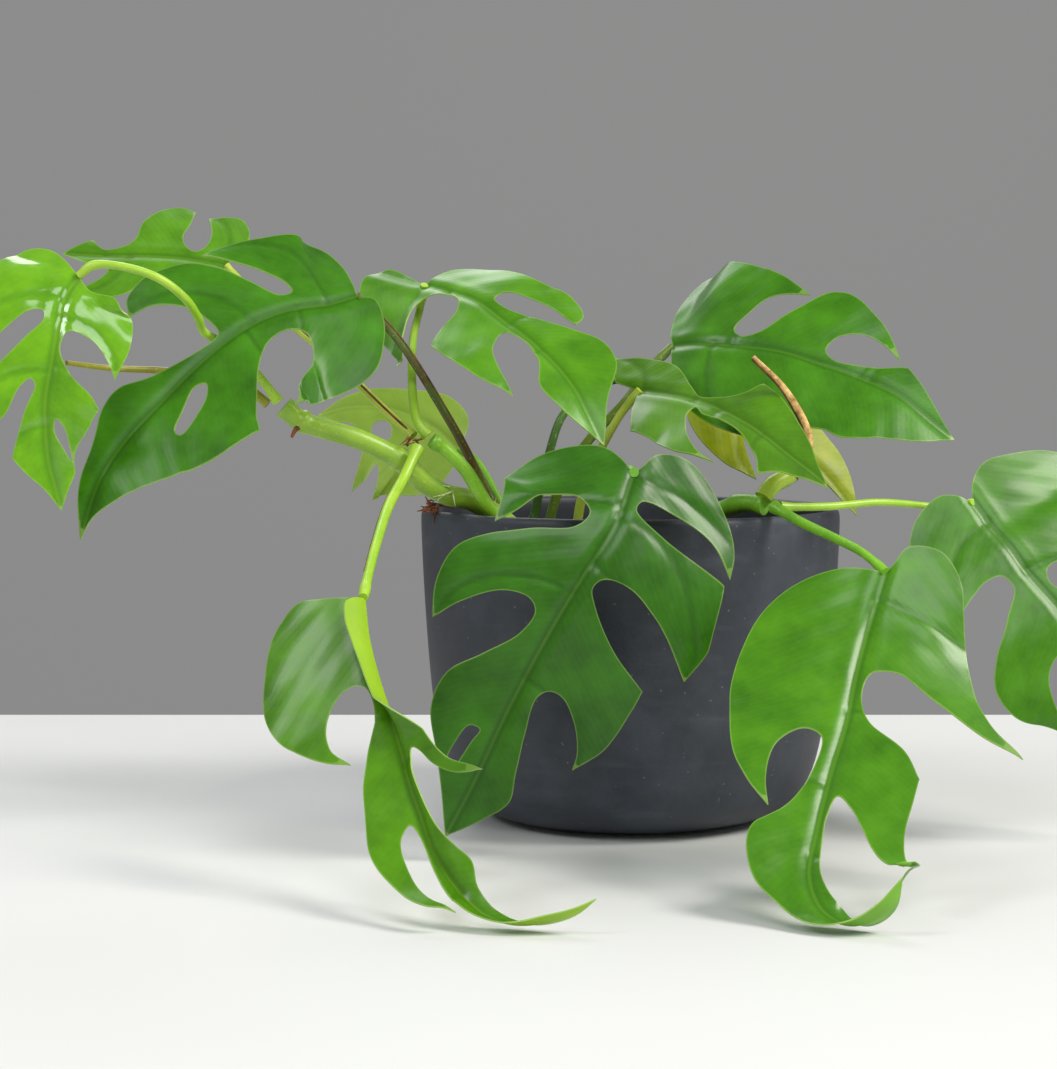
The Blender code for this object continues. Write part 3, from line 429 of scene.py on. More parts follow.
SHEATH = ((61.5, -56.5, 139), (62.5, -54, 144), (62, -51.5, 149.5), (58.5, -50.5, 157),
          (52.5, -51, 166), (42.3, -53, 176))
ride_as(tube("dried_sheath", SHEATH, 1.7, 0.8, papery, ((0.45, 0.25, 9.0),)), "dried_sheath_shoot")
trim("dried_sheath_dark_edge", SHEATH, 0.8, 0.4, dark_edge, "dried_sheath_shoot", side=(-1, -0.4, 0),
     out=1.1)
trim("shoot_brown_band", ((56, -55.5, 134), (60.5, -54, 137)), 3.4, 2.6, dark_edge,
     "dried_sheath_shoot")
EDGES = (("petiole_upper_left", (1, -0.8, 0.2), 1.5, 0.4, 1),
         ("petiole_upper_left", (-1, -0.6, 0), 1.5, 0.3, 1),
         ("petiole_low_left", (-1, -0.5, 0.3), 1.7, 0.4, 0),
         ("petiole_back_left", (0.3, -1, 0.2), 1.3, 0.55, 0))
for count, (name, side, out, thick, skip) in enumerate(EDGES):
    route = {**PLANTED_PETIOLES, **GROWN_PETIOLES}[name][3][skip:]
    trim(f"dry_edge_{count}", route[:5], thick, 0.2, dark_edge, "dried_sheath_shoot", side=side,
         out=out)


def fibre_tuft(name, centre, spread, count, length, thick, material, seed, lean=(0, 0, 1)):
    """Torn fibres: short curved hairs thrown round a point."""
    random = np.random.default_rng(seed)
    for k in range(count):
        start = np.array(centre) + random.uniform(-1, 1, 3) * spread
        way = random.normal(size=3) + np.array(lean) * 1.2
        way /= np.linalg.norm(way)
        bend = random.normal(size=3) * 0.35
        reach = length * random.uniform(0.6, 1.2)
        route = [tuple(start + way * reach * u + bend * reach * u * u) for u in (0, 0.5, 1)]
        trim(f"{name}_{k}", route, thick, 0.12, material, "dried_sheath_shoot", step=2.0)


fibre_tuft("node_fibre", (-80, -47, 145), (3, 2, 3), 7, 5, 0.5, rust_fibre, 3, (0.3, -0.4, -0.3))
fibre_tuft("stem_silver_fibre", (-68, -42, 127), (4, 2, 2), 9, 7, 0.3, pale_fibre, 5,
           (-0.8, -0.3, -0.2))
fibre_tuft("rim_fibre", (-75, -26, 121), (3, 4, 3), 14, 5, 0.7, rust_fibre, 8, (-0.6, -0.5, -0.5))
fibre_tuft("stalk_foot_fibre", (-51, -20, 119), (2.5, 2, 3), 6, 6, 0.6, papery, 13, (0.3, -0.5, 0.8))
trim("left_node_scar", ((-119, -55.5, 152), (-122.5, -57.5, 150), (-124, -58, 147)), 1.4, 0.5,
     rust_fibre, "stem_left")


# ---- Leaves ------------------------------------------------------------------------------------
# Leathery split blades about half a millimetre thick, glossy above and duller below, with a sunken
# midrib, one vein into each lobe, fine close veins between and a thin pale margin. Each starts flat, as
# its outline filled with a close triangle mesh, is laid along its rib in space and is then thickened.
class Blade:
    """Where the flat leaf's (along, across) points lie in space."""

    def __init__(self, rib, hold):
        table = smooth_through([place + facing for place, facing in rib], 1.0)
        self.middle = table[:, :3]
        runs = np.linalg.norm(np.diff(self.middle, axis=0), axis=1)
        self.along = np.concatenate([[0], np.cumsum(runs)])
        self.length = self.along[-1]
        tangent = np.gradient(self.middle, self.along, axis=0)
        self.tangent = tangent / np.linalg.norm(tangent, axis=1)[:, None]
        facing = table[:, 3:] - (table[:, 3:] * self.tangent).sum(1)[:, None] * self.tangent
        self.normal = facing / np.linalg.norm(facing, axis=1)[:, None]
        self.across = np.cross(self.tangent, self.normal)
        self.hold = np.array(hold, float)

    def frame(self, table, s):
        return np.stack([np.interp(s, self.along, table[:, k]) for k in range(3)], -1)

    def place(self, flat):
        """Each half rises from the rib by its fold angle and droops along a circular arc."""
        s, t = np.array(flat, float).T
        on_rib = np.clip(s, 0, self.length)
        beyond = (s - on_rib)[:, None]
        middle = self.frame(self.middle, on_rib) + self.frame(self.tangent, on_rib) * beyond
        held = [np.interp(s, self.hold[:, 0], self.hold[:, k]) for k in (1, 2, 3, 4)]
        fold = np.radians(np.where(t > 0, held[0], held[2]))
        droop = np.radians(np.where(t > 0, held[1], held[3])) / 10
        droop = np.where(abs(droop) < 1e-5, 1e-5, droop)
        out = (np.sin(fold) - np.sin(fold - droop * abs(t))) / droop
        rise = (np.cos(fold - droop * abs(t)) - np.cos(fold)) / droop
        side = self.frame(self.across, on_rib) * (np.sign(t) * out)[:, None]
        return middle + side + self.frame(self.normal, on_rib) * rise[:, None]


def edge_loop(strokes, step):
    """The blade's closed edge: smooth inside a stroke, sharp where strokes meet."""
    loop = []
    start = None
    for stroke in strokes:
        points = stroke if start is None else (start,) + stroke
        loop.extend(smooth_through(points, step, 2)[:-1])
        start = stroke[-1]
    return np.array(loop)


def hole_loop(points, step):
    """A closed smooth hole."""
    ring = tuple(points)
    wrapped = ring[-2:] + ring + ring[:2]
    count_before = len(smooth_through(wrapped[:3], step, 2)) - 1
    whole = smooth_through(wrapped, step, 2)
    count_after = len(smooth_through(wrapped[-2:], step, 2)) - 1
    return whole[count_before:len(whole) - 1 - count_after]


def inside(points, loop):
    """True for each point inside the closed loop."""
    x, y = points[:, 0:1], points[:, 1:2]
    x0, y0 = loop.T
    x1, y1 = np.roll(loop, -1, axis=0).T
    rising = (y0 > y) != (y1 > y)
    run = np.where(y1 == y0, 1e-9, y1 - y0)
    return (rising & (x < (x1 - x0) * (y - y0) / run + x0)).sum(1) % 2 == 1


def distance_to(points, loop):
    """Distance from each point to the nearest corner or middle of the loop's stretches."""
    marks = np.vstack([loop, (loop + np.roll(loop, -1, axis=0)) / 2])
    return np.linalg.norm(points[:, None] - marks[None], axis=2).min(1)


def lobe_veins(strokes, length):
    """The vein of each lobe: it leaves the rib, then turns along the lobe to its tip."""
    lines = []
    for s, t in (stroke[-1] for stroke in strokes[:-1]):
        if abs(t) > 8:
            foot = min(max(s - 0.8 * abs(t), 1.0), length * 0.86)
            u = np.linspace(0, 1, 90)
            lines.append(np.stack([foot + (s - foot) * u ** 1.8, t * np.sin(u * math.pi / 2)], 1))
    return lines


LEAF_MAP = 250.0            # flat leaf millimetres across the whole map
VEIN_GAP = 2.6              # between close veins
VEIN_SLANT = 0.75           # how far a close vein runs forward, for each millimetre out


def leaf_skin(name, upper, deep, vein, gloss):
    """Waxy living leaf: cell rows give close veins that slant forward from the midrib.
    The wax coat gives a soft highlight, and the tissue glows a little where light comes through."""
    material, tree, shader = new_material(name)
    leaf_map = add(tree, "ShaderNodeUVMap", {"uv_map": "flat_leaf"})
    flat = add(tree, "ShaderNodeSeparateXYZ", Vector=leaf_map.outputs[0])
    along = add(tree, "ShaderNodeMath", {"operation": "MULTIPLY"}, i0=flat.outputs[0], i1=LEAF_MAP)
    across = add(tree, "ShaderNodeMath", {"operation": "MULTIPLY_ADD"}, i0=flat.outputs[1], i1=LEAF_MAP,
                 i2=-LEAF_MAP / 2)
    across = add(tree, "ShaderNodeMath", {"operation": "ABSOLUTE"}, i0=across.outputs[0])
    place = add(tree, "ShaderNodeTexCoord").outputs["Object"]
    mottle = add(tree, "ShaderNodeTexNoise", Vector=place, Scale=55.0, Detail=4.0, Roughness=0.6)
    cells = add(tree, "ShaderNodeTexNoise", Vector=place, Scale=1100.0, Detail=2.0)
    slant = add(tree, "ShaderNodeMath", {"operation": "MULTIPLY_ADD"}, i0=across.outputs[0],
                i1=-VEIN_SLANT, i2=along.outputs[0])
    waver = add(tree, "ShaderNodeMath", {"operation": "MULTIPLY_ADD"}, i0=mottle.outputs[0], i1=5.0,
                i2=slant.outputs[0])
    phase = add(tree, "ShaderNodeMath", {"operation": "MULTIPLY"}, i0=waver.outputs[0],
                i1=math.tau / VEIN_GAP)
    wave = add(tree, "ShaderNodeMath", {"operation": "SINE"}, i0=phase.outputs[0])
    fine = add(tree, "ShaderNodeMapRange", Value=wave.outputs[0], From_Min=0.2, From_Max=1.0,
               To_Max=0.035).outputs[0]
    lobe = add(tree, "ShaderNodeAttribute", {"attribute_name": "vein"})
    edge = add(tree, "ShaderNodeAttribute", {"attribute_name": "edge"})
    mottle_part = add(tree, "ShaderNodeMapRange", Value=mottle.outputs[0], From_Min=0.26,
                      From_Max=0.74).outputs[0]
    skin = add(tree, "ShaderNodeMix", {"data_type": "RGBA"}, Factor=mottle_part, i6=linear(deep),
               i7=linear(upper)).outputs[2]
    skin = add(tree, "ShaderNodeMix", {"data_type": "RGBA"}, Factor=fine, i6=skin,
               i7=linear(vein)).outputs[2]
    # Painted shade: the deep colour darkens the sunken crease along each lobe vein.
    lobe_vein_crease_shade = add(tree, "ShaderNodeMapRange", {"interpolation_type": "SMOOTHSTEP"},
                    Value=lobe.outputs[2], From_Min=0.85, From_Max=0.1, To_Max=0.55).outputs[0]
    skin = add(tree, "ShaderNodeMix", {"data_type": "RGBA"}, Factor=lobe_vein_crease_shade, i6=skin,
               i7=linear(deep)).outputs[2]
    # Painted shade: the deep colour darkens the midrib's groove, up to 2.6 mm either side of the rib.
    beside = add(tree, "ShaderNodeMapRange", {"interpolation_type": "SMOOTHSTEP"},
                 Value=across.outputs[0], From_Min=2.6, From_Max=0.8, To_Max=0.65).outputs[0]
    skin = add(tree, "ShaderNodeMix", {"data_type": "RGBA"}, Factor=beside, i6=skin,
               i7=linear(deep)).outputs[2]
    rib_part = add(tree, "ShaderNodeMapRange", {"interpolation_type": "SMOOTHSTEP"},
                   Value=across.outputs[0], From_Min=0.75, From_Max=0.3, To_Max=0.2).outputs[0]
    skin = add(tree, "ShaderNodeMix", {"data_type": "RGBA"}, Factor=rib_part, i6=skin,
               i7=linear(vein)).outputs[2]
    margin = add(tree, "ShaderNodeMapRange", Value=edge.outputs[2], From_Min=0.17, From_Max=0.05,
                 To_Max=0.22).outputs[0]
    skin = add(tree, "ShaderNodeMix", {"data_type": "RGBA"}, Factor=margin, i6=skin,
               i7=linear("b4d070")).outputs[2]
    tree.links.new(skin, shader.inputs["Base Color"])
    rough = add(tree, "ShaderNodeMapRange", Value=mottle.outputs[0], From_Min=0.3, From_Max=0.7,
                To_Min=gloss, To_Max=gloss + 0.12).outputs[0]
    tree.links.new(rough, shader.inputs["Roughness"])
    shader.inputs["Coat Weight"].default_value = min(1.0, max(0.1, 1.5 - 4.0 * gloss))
    shader.inputs["Coat Roughness"].default_value = 0.8 * gloss
    shader.inputs["Specular IOR Level"].default_value = 0.2
    shader.inputs["Subsurface Weight"].default_value = 0.08
    shader.inputs["Subsurface Radius"].default_value = (0.001, 0.002, 0.0004)
    relief = add(tree, "ShaderNodeBump", Height=cells.outputs[0], Strength=0.12, Distance=0.00015)
    relief = add(tree, "ShaderNodeBump", Height=wave.outputs[0], Strength=0.04, Distance=0.0002,
                 Normal=relief.outputs[0])
    tree.links.new(relief.outputs[0], shader.inputs["Normal"])
    return material


def plain_leaf_side(name, hex_colour, roughness):
    """The underside and the cut of the margin: the same tissue without its wax shine."""
    material, tree, shader = new_material(name)
    place = add(tree, "ShaderNodeTexCoord").outputs["Object"]
    mottle = add(tree, "ShaderNodeTexNoise", Vector=place, Scale=80.0, Detail=4.0)
    part = add(tree, "ShaderNodeMapRange", Value=mottle.outputs[0], From_Min=0.3, From_Max=0.7,
               To_Max=0.3).outputs[0]
    skin = add(tree, "ShaderNodeMix", {"data_type": "RGBA"}, Factor=part, i6=linear(hex_colour),
               i7=linear("6f9a38")).outputs[2]
    tree.links.new(skin, shader.inputs["Base Color"])
    shader.inputs["Roughness"].default_value = roughness
    shader.inputs["Subsurface Weight"].default_value = 0.08
    shader.inputs["Subsurface Radius"].default_value = (0.001, 0.002, 0.0004)
    return material


BLADE_STEP = 1.5            # spacing of the blade's points
BLADE_THICKNESS = 0.5
pale_margin = plain_leaf_side("pale_margin", "94b85a", 0.5)


def make_leaf(node, rib, hold, edge, holes, upper, deep, vein, under, gloss=0.3, wave=1.0):
    """One blade, from its flat outline to the finished piece.

    The rib holds (place, upper side's facing), the hold (station, then rise and droop of each half),
    and the edge the strokes of (along, across) that meet at the lobe tips.
    """
    blade = Blade(rib, hold)
    outline = edge_loop(edge, BLADE_STEP)
    loops = [outline] + [hole_loop(hole, BLADE_STEP) for hole in holes]
    count = round(blade.length / BLADE_STEP)
    middle = np.array([(blade.length * k / count, 0) for k in range(1, count)])
    low, high = outline.min(0), outline.max(0)
    rows = [row for row in range(int(low[1] / BLADE_STEP) - 1, int(high[1] / BLADE_STEP) + 2) if row]
    grid = np.array([(s + 0.5 * BLADE_STEP * (row % 2), row * BLADE_STEP) for row in rows
                     for s in np.arange(low[0], high[0], BLADE_STEP)])
    grid = grid[inside(grid, outline)]
    for loop in loops:
        grid = grid[distance_to(grid, loop) > BLADE_STEP * 0.6]
    middle = middle[inside(middle, outline) & (distance_to(middle, outline) > BLADE_STEP * 0.6)]
    points = []
    edges = []
    for loop in loops:
        first = len(points)
        points.extend(loop)
        edges.extend((first + k, first + (k + 1) % len(loop)) for k in range(len(loop)))
    points.extend(middle)
    points.extend(grid)
    verts, _, faces, _, _, _ = delaunay_2d_cdt([Vector(p) for p in points], edges, [], 0, 1e-5, False)
    flat = np.array([tuple(v) for v in verts])
    centres = flat[np.array([list(face) for face in faces])].mean(1)
    kept = inside(centres, outline)
    for loop in loops[1:]:
        kept &= ~inside(centres, loop)
    s, t = flat.T
    to_edge = np.min([distance_to(flat, loop) for loop in loops], axis=0)
    lines = lobe_veins(edge, blade.length)
    to_vein = np.min([np.linalg.norm(flat[:, None] - line[None], axis=2).min(1) for line in lines],
                     axis=0)
    clear = np.clip(abs(t) / 14, 0, 1)
    ripple = np.array([noise.noise(Vector((a / 26, b / 26, len(node)))) for a, b in flat])
    # The groove of the rib, the swell beside it, the lobe veins, fine ribs 11 mm apart and a slow wave.
    height = (-0.65 * np.exp(-(t / 1.5) ** 2) * np.clip(1.1 - s / blade.length, 0.15, 1)
              + 0.4 * np.exp(-((abs(t) - 4) / 2.5) ** 2) - 0.45 * np.exp(-(to_vein / 1.4) ** 2)
              + 0.1 * np.sin((s - VEIN_SLANT * abs(t)) * math.tau / 11) * clear
              + wave * 1.1 * ripple * clear)
    facing = blade.frame(blade.normal, np.clip(s, 0, blade.length))
    placed = blade.place(flat) + facing * height[:, None]
    mesh = bpy.data.meshes.new(node)
    mesh.from_pydata(placed * MM, [], [tuple(face)[::-1] for face, keep in zip(faces, kept) if keep])
    layer = mesh.uv_layers.new(name="flat_leaf")
    for loop in mesh.loops:
        layer.data[loop.index].uv = (s[loop.vertex_index] / LEAF_MAP,
                                     t[loop.vertex_index] / LEAF_MAP + 0.5)
    for name, values in (("edge", np.clip(to_edge / 3, 0, 1)), ("vein", np.clip(to_vein / 2, 0, 1))):
        mesh.attributes.new(name, "FLOAT", "POINT").data.foreach_set("value", values.astype(np.float32))
    piece = bpy.data.objects.new(f"blade_{node[5:]}", mesh)
    bpy.context.collection.objects.link(piece)
    bpy.context.view_layer.objects.active = piece
    piece.select_set(True)
    bpy.ops.object.mode_set(mode="EDIT")
    bpy.ops.mesh.select_all(action="SELECT")
    bpy.ops.mesh.delete_loose()
    bpy.ops.object.mode_set(mode="OBJECT")
    mesh.shade_smooth()
    mesh.materials.append(leaf_skin(f"waxy_leaf_{node[5:]}", upper, deep, vein, gloss))
    mesh.materials.append(plain_leaf_side(f"leaf_underside_{node[5:]}", under, 0.45))
    mesh.materials.append(pale_margin)
    thick = piece.modifiers.new("thickness", "SOLIDIFY")
    thick.thickness = BLADE_THICKNESS * MM
    thick.offset = -1
    thick.material_offset = 1
    thick.material_offset_rim = 2
    bpy.ops.object.modifier_apply(modifier="thickness")
    piece.data.set_sharp_from_angle(angle=math.radians(60))
    ride_as(piece, node)
    bpy.ops.object.select_all(action="DESELECT")


# ---- Front centre leaf --------------------------------------------------------------------------
# The largest blade, hanging over the front of the pot.
# Satin wax above, paler and dull below. Its rib, hold and edge are as make_leaf says.
make_leaf(
    "leaf_front_centre",
    rib=(((-2, -88, 136), (.1, -.75, .65)), ((-9, -99, 118), (.1, -.92, .35)),
         ((-20, -104, 101), (.05, -.98, .15)), ((-33, -104, 79), (0, -1, .05)),
         ((-46, -101, 54), (0, -1, 0)), ((-58, -98, 28), (0, -1, 0)), ((-68, -97, 9), (0, -1, 0))),
    hold=((0, -6, 4, -6, 4), (60, 6, 3, 6, 3), (110, 8, 3, 8, 3)),
    edge=(((0, 0), (-7, 12), (-5, 25), (2, 37), (15, 43), (29, 41), (43, 36)),
          ((37, 32), (22, 27), (16, 16), (21, 10), (30, 12), (39, 24), (47, 35), (57, 43), (69, 43),
           (80, 38)),
          ((71, 32), (61, 21), (59, 12), (62, 8), (71, 9), (83, 17), (94, 25), (106, 25), (120, 17),
           (133, 9), (147, 0)),
          ((135, -9), (126, -14), (117, -12), (102, -9), (88, -7), (84, -10), (84, -15), (91, -23),
           (100, -28), (107, -29)),
          ((94, -36), (76, -38), (68, -38)),
          ((60, -22), (50, -9), (45, -5), (40, -7), (38, -18), (46, -35), (57, -49)),
          ((41, -51), (26, -46), (22, -44)),
          ((21, -33), (19, -18), (14, -5), (10, -6), (10, -18), (13, -33), (20, -45)),
          ((13, -43), (-1, -33), (-12, -17), (-10, -6), (-3, -2), (0, 0))),
    holes=(((107, 6), (107, 10), (114, 12), (122, 12), (124, 9), (119, 8), (112, 7)),),
    upper="337102", deep="1d4a01", vein="62961f", under="538d1d", gloss=0.3, wave=1.0)


# ---- Front right leaf ---------------------------------------------------------------------------
# A long blade that hangs to the table, where its tip lies and curls up.
# Satin wax above, paler and dull below. Its rib, hold and edge are as make_leaf says.
make_leaf(
    "leaf_front_right",
    rib=(((83, -110, 103), (-.1, -.7, .7)), ((77, -118, 87), (-.1, -.85, .5)),
         ((71, -130, 71), (-.1, -.85, .5)), ((66, -144, 56), (-.1, -.85, .5)),
         ((59, -160, 41), (-.1, -.8, .6)), ((53, -176, 26), (-.1, -.8, .6)),
         ((49, -191, 14), (-.1, -.7, .7)), ((52, -202, 6), (-.2, -.2, 1)),
         ((59, -208, 3), (-.3, .35, .9)), ((66, -211, 5), (-.4, .6, .6)),
         ((71, -213, 10), (-.6, .8, .3)), ((74, -213, 17), (-.6, .8, .1))),
    hold=((0, 4, 4, -4, 5), (60, 8, 4, 6, 4), (120, 12, 2, 12, 2), (140, 4, 0, 4, 0)),
    edge=(((0, 0), (2, 13), (10, 26), (23, 36), (41, 40), (58, 40), (81, 34), (95, 24), (101, 17)),
          ((91, 20), (77, 20), (68, 13), (69, 7), (83, 6), (99, 11), (110, 20), (118, 21), (126, 18),
           (136, 11), (150, 7), (163, 5), (175, 0)),
          ((166, -4), (155, -6), (145, -6), (136, -5), (119, -3), (100, -2), (92, -4), (96, -9),
           (110, -17), (128, -28), (147, -37)),
          ((128, -33), (108, -28), (87, -28), (78, -28)),
          ((68, -21), (59, -7), (49, -3), (39, -5), (37, -14), (46, -28), (55, -44), (58, -59)),
          ((50, -47), (26, -36), (8, -30), (-5, -25), (-13, -16), (-11, -5), (-4, -2), (0, 0))),
    holes=(),
    upper="4c8a02", deep="2e6502", vein="76a227", under="6ba91a", gloss=0.28, wave=1.0)


# ---- Upper left leaf ----------------------------------------------------------------------------
# A dark older blade with a slit in its broad side.
# Satin wax above, paler and dull below. Its rib, hold and edge are as make_leaf says.
make_leaf(
    "leaf_upper_left",
    rib=(((-100, -58, 198), (-.1, -.8, .6)), ((-110, -62, 195), (-.1, -.85, .5)),
         ((-123, -66, 193), (-.15, -.85, .5)), ((-136, -70, 188), (-.15, -.85, .45)),
         ((-146, -75, 181), (-.2, -.9, .4)), ((-157, -80, 171), (-.25, -.9, .4)),
         ((-167, -86, 160), (-.25, -.9, .4)), ((-178, -90, 148), (-.25, -.9, .35)),
         ((-187, -94, 134), (-.25, -.9, .3)), ((-194, -96, 113), (-.25, -.9, .25))),
    hold=((0, 2, 4, -4, 4), (50, 8, 4, 4, 3), (110, 12, 2, 12, 2)),
    edge=(((0, 0), (-1, 16), (3, 27), (14, 32), (28, 35), (40, 36)),
          ((35, 27), (29, 19), (24, 12), (23, 7), (27, 7), (34, 17), (39, 28), (44, 37), (53, 41),
           (63, 40), (67, 34)),
          ((60, 30), (53, 20), (51, 12), (52, 4), (62, 4), (77, 9), (90, 15), (97, 15), (110, 9),
           (124, 6), (141, 0)),
          ((133, -2), (122, -11), (105, -25), (85, -34), (74, -38)),
          ((61, -27), (46, -13), (31, -8), (22, -11), (22, -21), (35, -29), (51, -36)),
          ((29, -39), (11, -34), (3, -27), (-4, -15), (-5, -4), (0, 0))),
    holes=(((69, -8), (73, -6), (84, -10), (89, -13), (89, -16), (81, -15), (73, -12)),),
    upper="3d7f03", deep="245502", vein="609420", under="528d1c", gloss=0.34, wave=1.1)


# ---- Far left leaf ------------------------------------------------------------------------------
# The youngest open blade: thin, bright and very shiny.
# Satin wax above, paler and dull below. Its rib, hold and edge are as make_leaf says.
make_leaf(
    "leaf_far_left",
    rib=(((-194, -92, 204), (.1, -.5, .85)), ((-198, -97, 197), (.1, -.75, .65)),
         ((-200, -101, 186), (.05, -.85, .5)), ((-202, -103, 174), (0, -.9, .4)),
         ((-204, -104, 161), (0, -.9, .4)), ((-204, -104, 151), (0, -.9, .4)),
         ((-203, -104, 140), (0, -.9, .35)), ((-201, -104, 132), (0, -.9, .3)),
         ((-199, -104, 124), (0, -.9, .3))),
    hold=((0, 4, 4, 4, 5), (50, 10, 4, 10, 4), (90, 12, 4, 12, 4)),
    edge=(((0, 0), (-6, 14), (-4, 23), (6, 28), (16, 33), (26, 35), (37, 34)),
          ((33, 25), (25, 18), (17, 11), (16, 6), (19, 5), (26, 10), (36, 17), (46, 22), (55, 23)),
          ((52, 14), (43, 9), (40, 6), (42, 4), (51, 7), (65, 12)),
          ((76, 4), (85, 0)),
          ((79, -4), (74, -8)),
          ((65, -10), (57, -15), (49, -19)),
          ((43, -16), (36, -7), (28, -2), (22, -4), (24, -13), (31, -20), (36, -23)),
          ((24, -26), (13, -24), (3, -17), (4, -7), (0, 0))),
    holes=(((53, -4), (57, -7), (69, -8), (64, -6), (57, -3)),),
    upper="74b502", deep="4a8701", vein="94c227", under="7cc01a", gloss=0.13, wave=1.3)


# ---- Upper middle leaf --------------------------------------------------------------------------
# A blade lit from above, with long curved lobes.
# Satin wax above, paler and dull below. Its rib, hold and edge are as make_leaf says.
make_leaf(
    "leaf_upper_middle",
    rib=(((-78, -8, 203), (.1, -.6, .8)), ((-67, -16, 200), (.1, -.6, .8)),
         ((-57, -24, 196), (.1, -.65, .75)), ((-49, -31, 190), (.15, -.65, .75)),
         ((-42, -37, 185), (.15, -.65, .75)), ((-35, -44, 179), (.15, -.7, .7)),
         ((-28, -51, 172), (.15, -.7, .7)), ((-22, -58, 164), (.2, -.75, .65)),
         ((-17, -63, 155), (.2, -.75, .6)), ((-12, -67, 145), (.2, -.8, .55))),
    hold=((0, -10, 5, 6, 5), (40, 4, 4, 10, 4), (90, 10, 3, 12, 3)),
    edge=(((0, 0), (-9, -2), (-20, -3), (-26, 5), (-20, 16), (-6, 27), (10, 36), (30, 43)),
          ((13, 30), (5, 16), (5, 8), (12, 2), (19, 3), (24, 9), (28, 19), (36, 30)),
          ((50, 31), (66, 28), (82, 24)),
          ((62, 19), (52, 14), (47, 6), (54, 2), (66, 4), (81, 12), (93, 9), (110, 0)),
          ((94, -9), (81, -20), (71, -21), (61, -16), (51, -11), (37, -5), (30, -5), (30, -11),
           (43, -17), (59, -19)),
          ((57, -24), (46, -28), (30, -24), (13, -20), (2, -11), (0, 0))),
    holes=(),
    upper="559402", deep="356c02", vein="79aa28", under="649d1d", gloss=0.3, wave=1.0)


# ---- Upper right leaf ---------------------------------------------------------------------------
# A broad blade held out to the right.
# Satin wax above, paler and dull below. Its rib, hold and edge are as make_leaf says.
make_leaf(
    "leaf_upper_right",
    rib=(((16, -1, 180), (0, -.75, .65)), ((26, -9, 181), (0, -.85, .55)),
         ((40, -17, 180), (0, -.85, .55)), ((55, -23, 178), (0, -.85, .55)),
         ((70, -29, 173), (.05, -.85, .5)), ((84, -33, 168), (.1, -.85, .5)),
         ((98, -38, 161), (.1, -.85, .5)), ((110, -42, 151), (.15, -.85, .45)),
         ((119, -44, 144), (.2, -.85, .4))),
    hold=((0, 4, 4, 8, 5), (50, 8, 3, 10, 4), (110, 12, 2, 12, 2)),
    edge=(((0, 0), (5, 12), (13, 25), (27, 35), (52, 42)),
          ((45, 35), (47, 27), (54, 26), (63, 29), (73, 28), (83, 29), (102, 19), (119, 0)),
          ((101, -7), (90, -12)),
          ((80, -6), (66, -3), (61, -6), (63, -12), (74, -17), (87, -13)),
          ((76, -24), (64, -31), (53, -31), (45, -19), (36, -7), (29, -4), (25, -7), (29, -15),
           (36, -23), (47, -27)),
          ((37, -34), (23, -38), (0, -41), (-6, -26), (-4, -8), (0, 0))),
    holes=(),
    upper="428302", deep="275c01", vein="699c25", under="589323", gloss=0.32, wave=1.1)


# ---- Middle right leaf --------------------------------------------------------------------------
# A greyer blade under the upper right leaf, seen at a low angle.
# Satin wax above, paler and dull below. Its rib, hold and edge are as make_leaf says.
make_leaf(
    "leaf_middle_right",
    rib=(((2.4, -30, 163.7), (0.1, -0.72, 0.68)), ((13.1, -38, 162.4), (0.1, -0.72, 0.68)),
         ((23.6, -46, 159.9), (0.1, -0.75, 0.65)), ((33.9, -55, 155.4), (0.15, -0.75, 0.65)),
         ((44, -63, 149.2), (0.15, -0.75, 0.6)), ((54, -71, 140.9), (0.2, -0.75, 0.6)),
         ((61.2, -77, 135.2), (0.25, -0.75, 0.6)), ((66.4, -81, 130.5), (0.25, -0.75, 0.6))),
    hold=((0, 4, 3, 14, 4), (40, 4, 3, 8, 4), (80, 6, 3, 8, 3)),
    edge=(((0, 0), (1, 4), (4, 12), (11, 24)),
          ((19, 25), (38, 28), (48, 25), (55, 23)),
          ((46, 23), (38, 19), (31, 13), (27, 8), (28, 4), (33, 6), (39, 5), (48, 5), (58, 8), (65, 11),
           (70, 16)),
          ((74, 10), (81, 6), (90, 0)),
          ((81, -4), (71, -10), (60, -14), (50, -18), (40, -20)),
          ((38, -12), (33, -5), (26, -2), (20, -5), (14, -10), (8, -14), (1, -15), (-8, -15),
           (-19, -14)),
          ((-17, -8), (-12, -2)),
          ((-6, -1), (0, 0))),
    holes=(),
    upper="518904", deep="356103", vein="76a52e", under="54811f", gloss=0.3, wave=0.9)


# ---- Back right leaf ----------------------------------------------------------------------------
# A small thin blade behind the others, which light shines through.
# Satin wax above, paler and dull below. Its rib, hold and edge are as make_leaf says.
make_leaf(
    "leaf_back_right",
    rib=(((27, 24, 161), (.1, -.75, .6)), ((42, 22, 154), (.1, -.75, .6)),
         ((57, 20, 145), (.1, -.75, .6)), ((73, 18, 133), (.1, -.75, .6)),
         ((89, 16, 114), (.1, -.75, .6))),
    hold=((0, 0, 4, 4, 4), (60, 6, 3, 6, 3)),
    edge=(((0, 0), (-1, 8), (7, 17), (23, 23), (38, 22)),
          ((30, 15), (25, 9), (28, 4), (36, 4), (48, 3), (59, 2), (69, 1), (79, 0)),
          ((69, -7), (60, -11), (50, -14), (38, -18)),
          ((31, -13), (23, -10), (20, -14), (24, -24), (12, -24), (2, -18), (-3, -9), (0, 0))),
    holes=(),
    upper="a8b605", deep="738403", vein="b4c838", under="9bb426", gloss=0.36, wave=0.8)


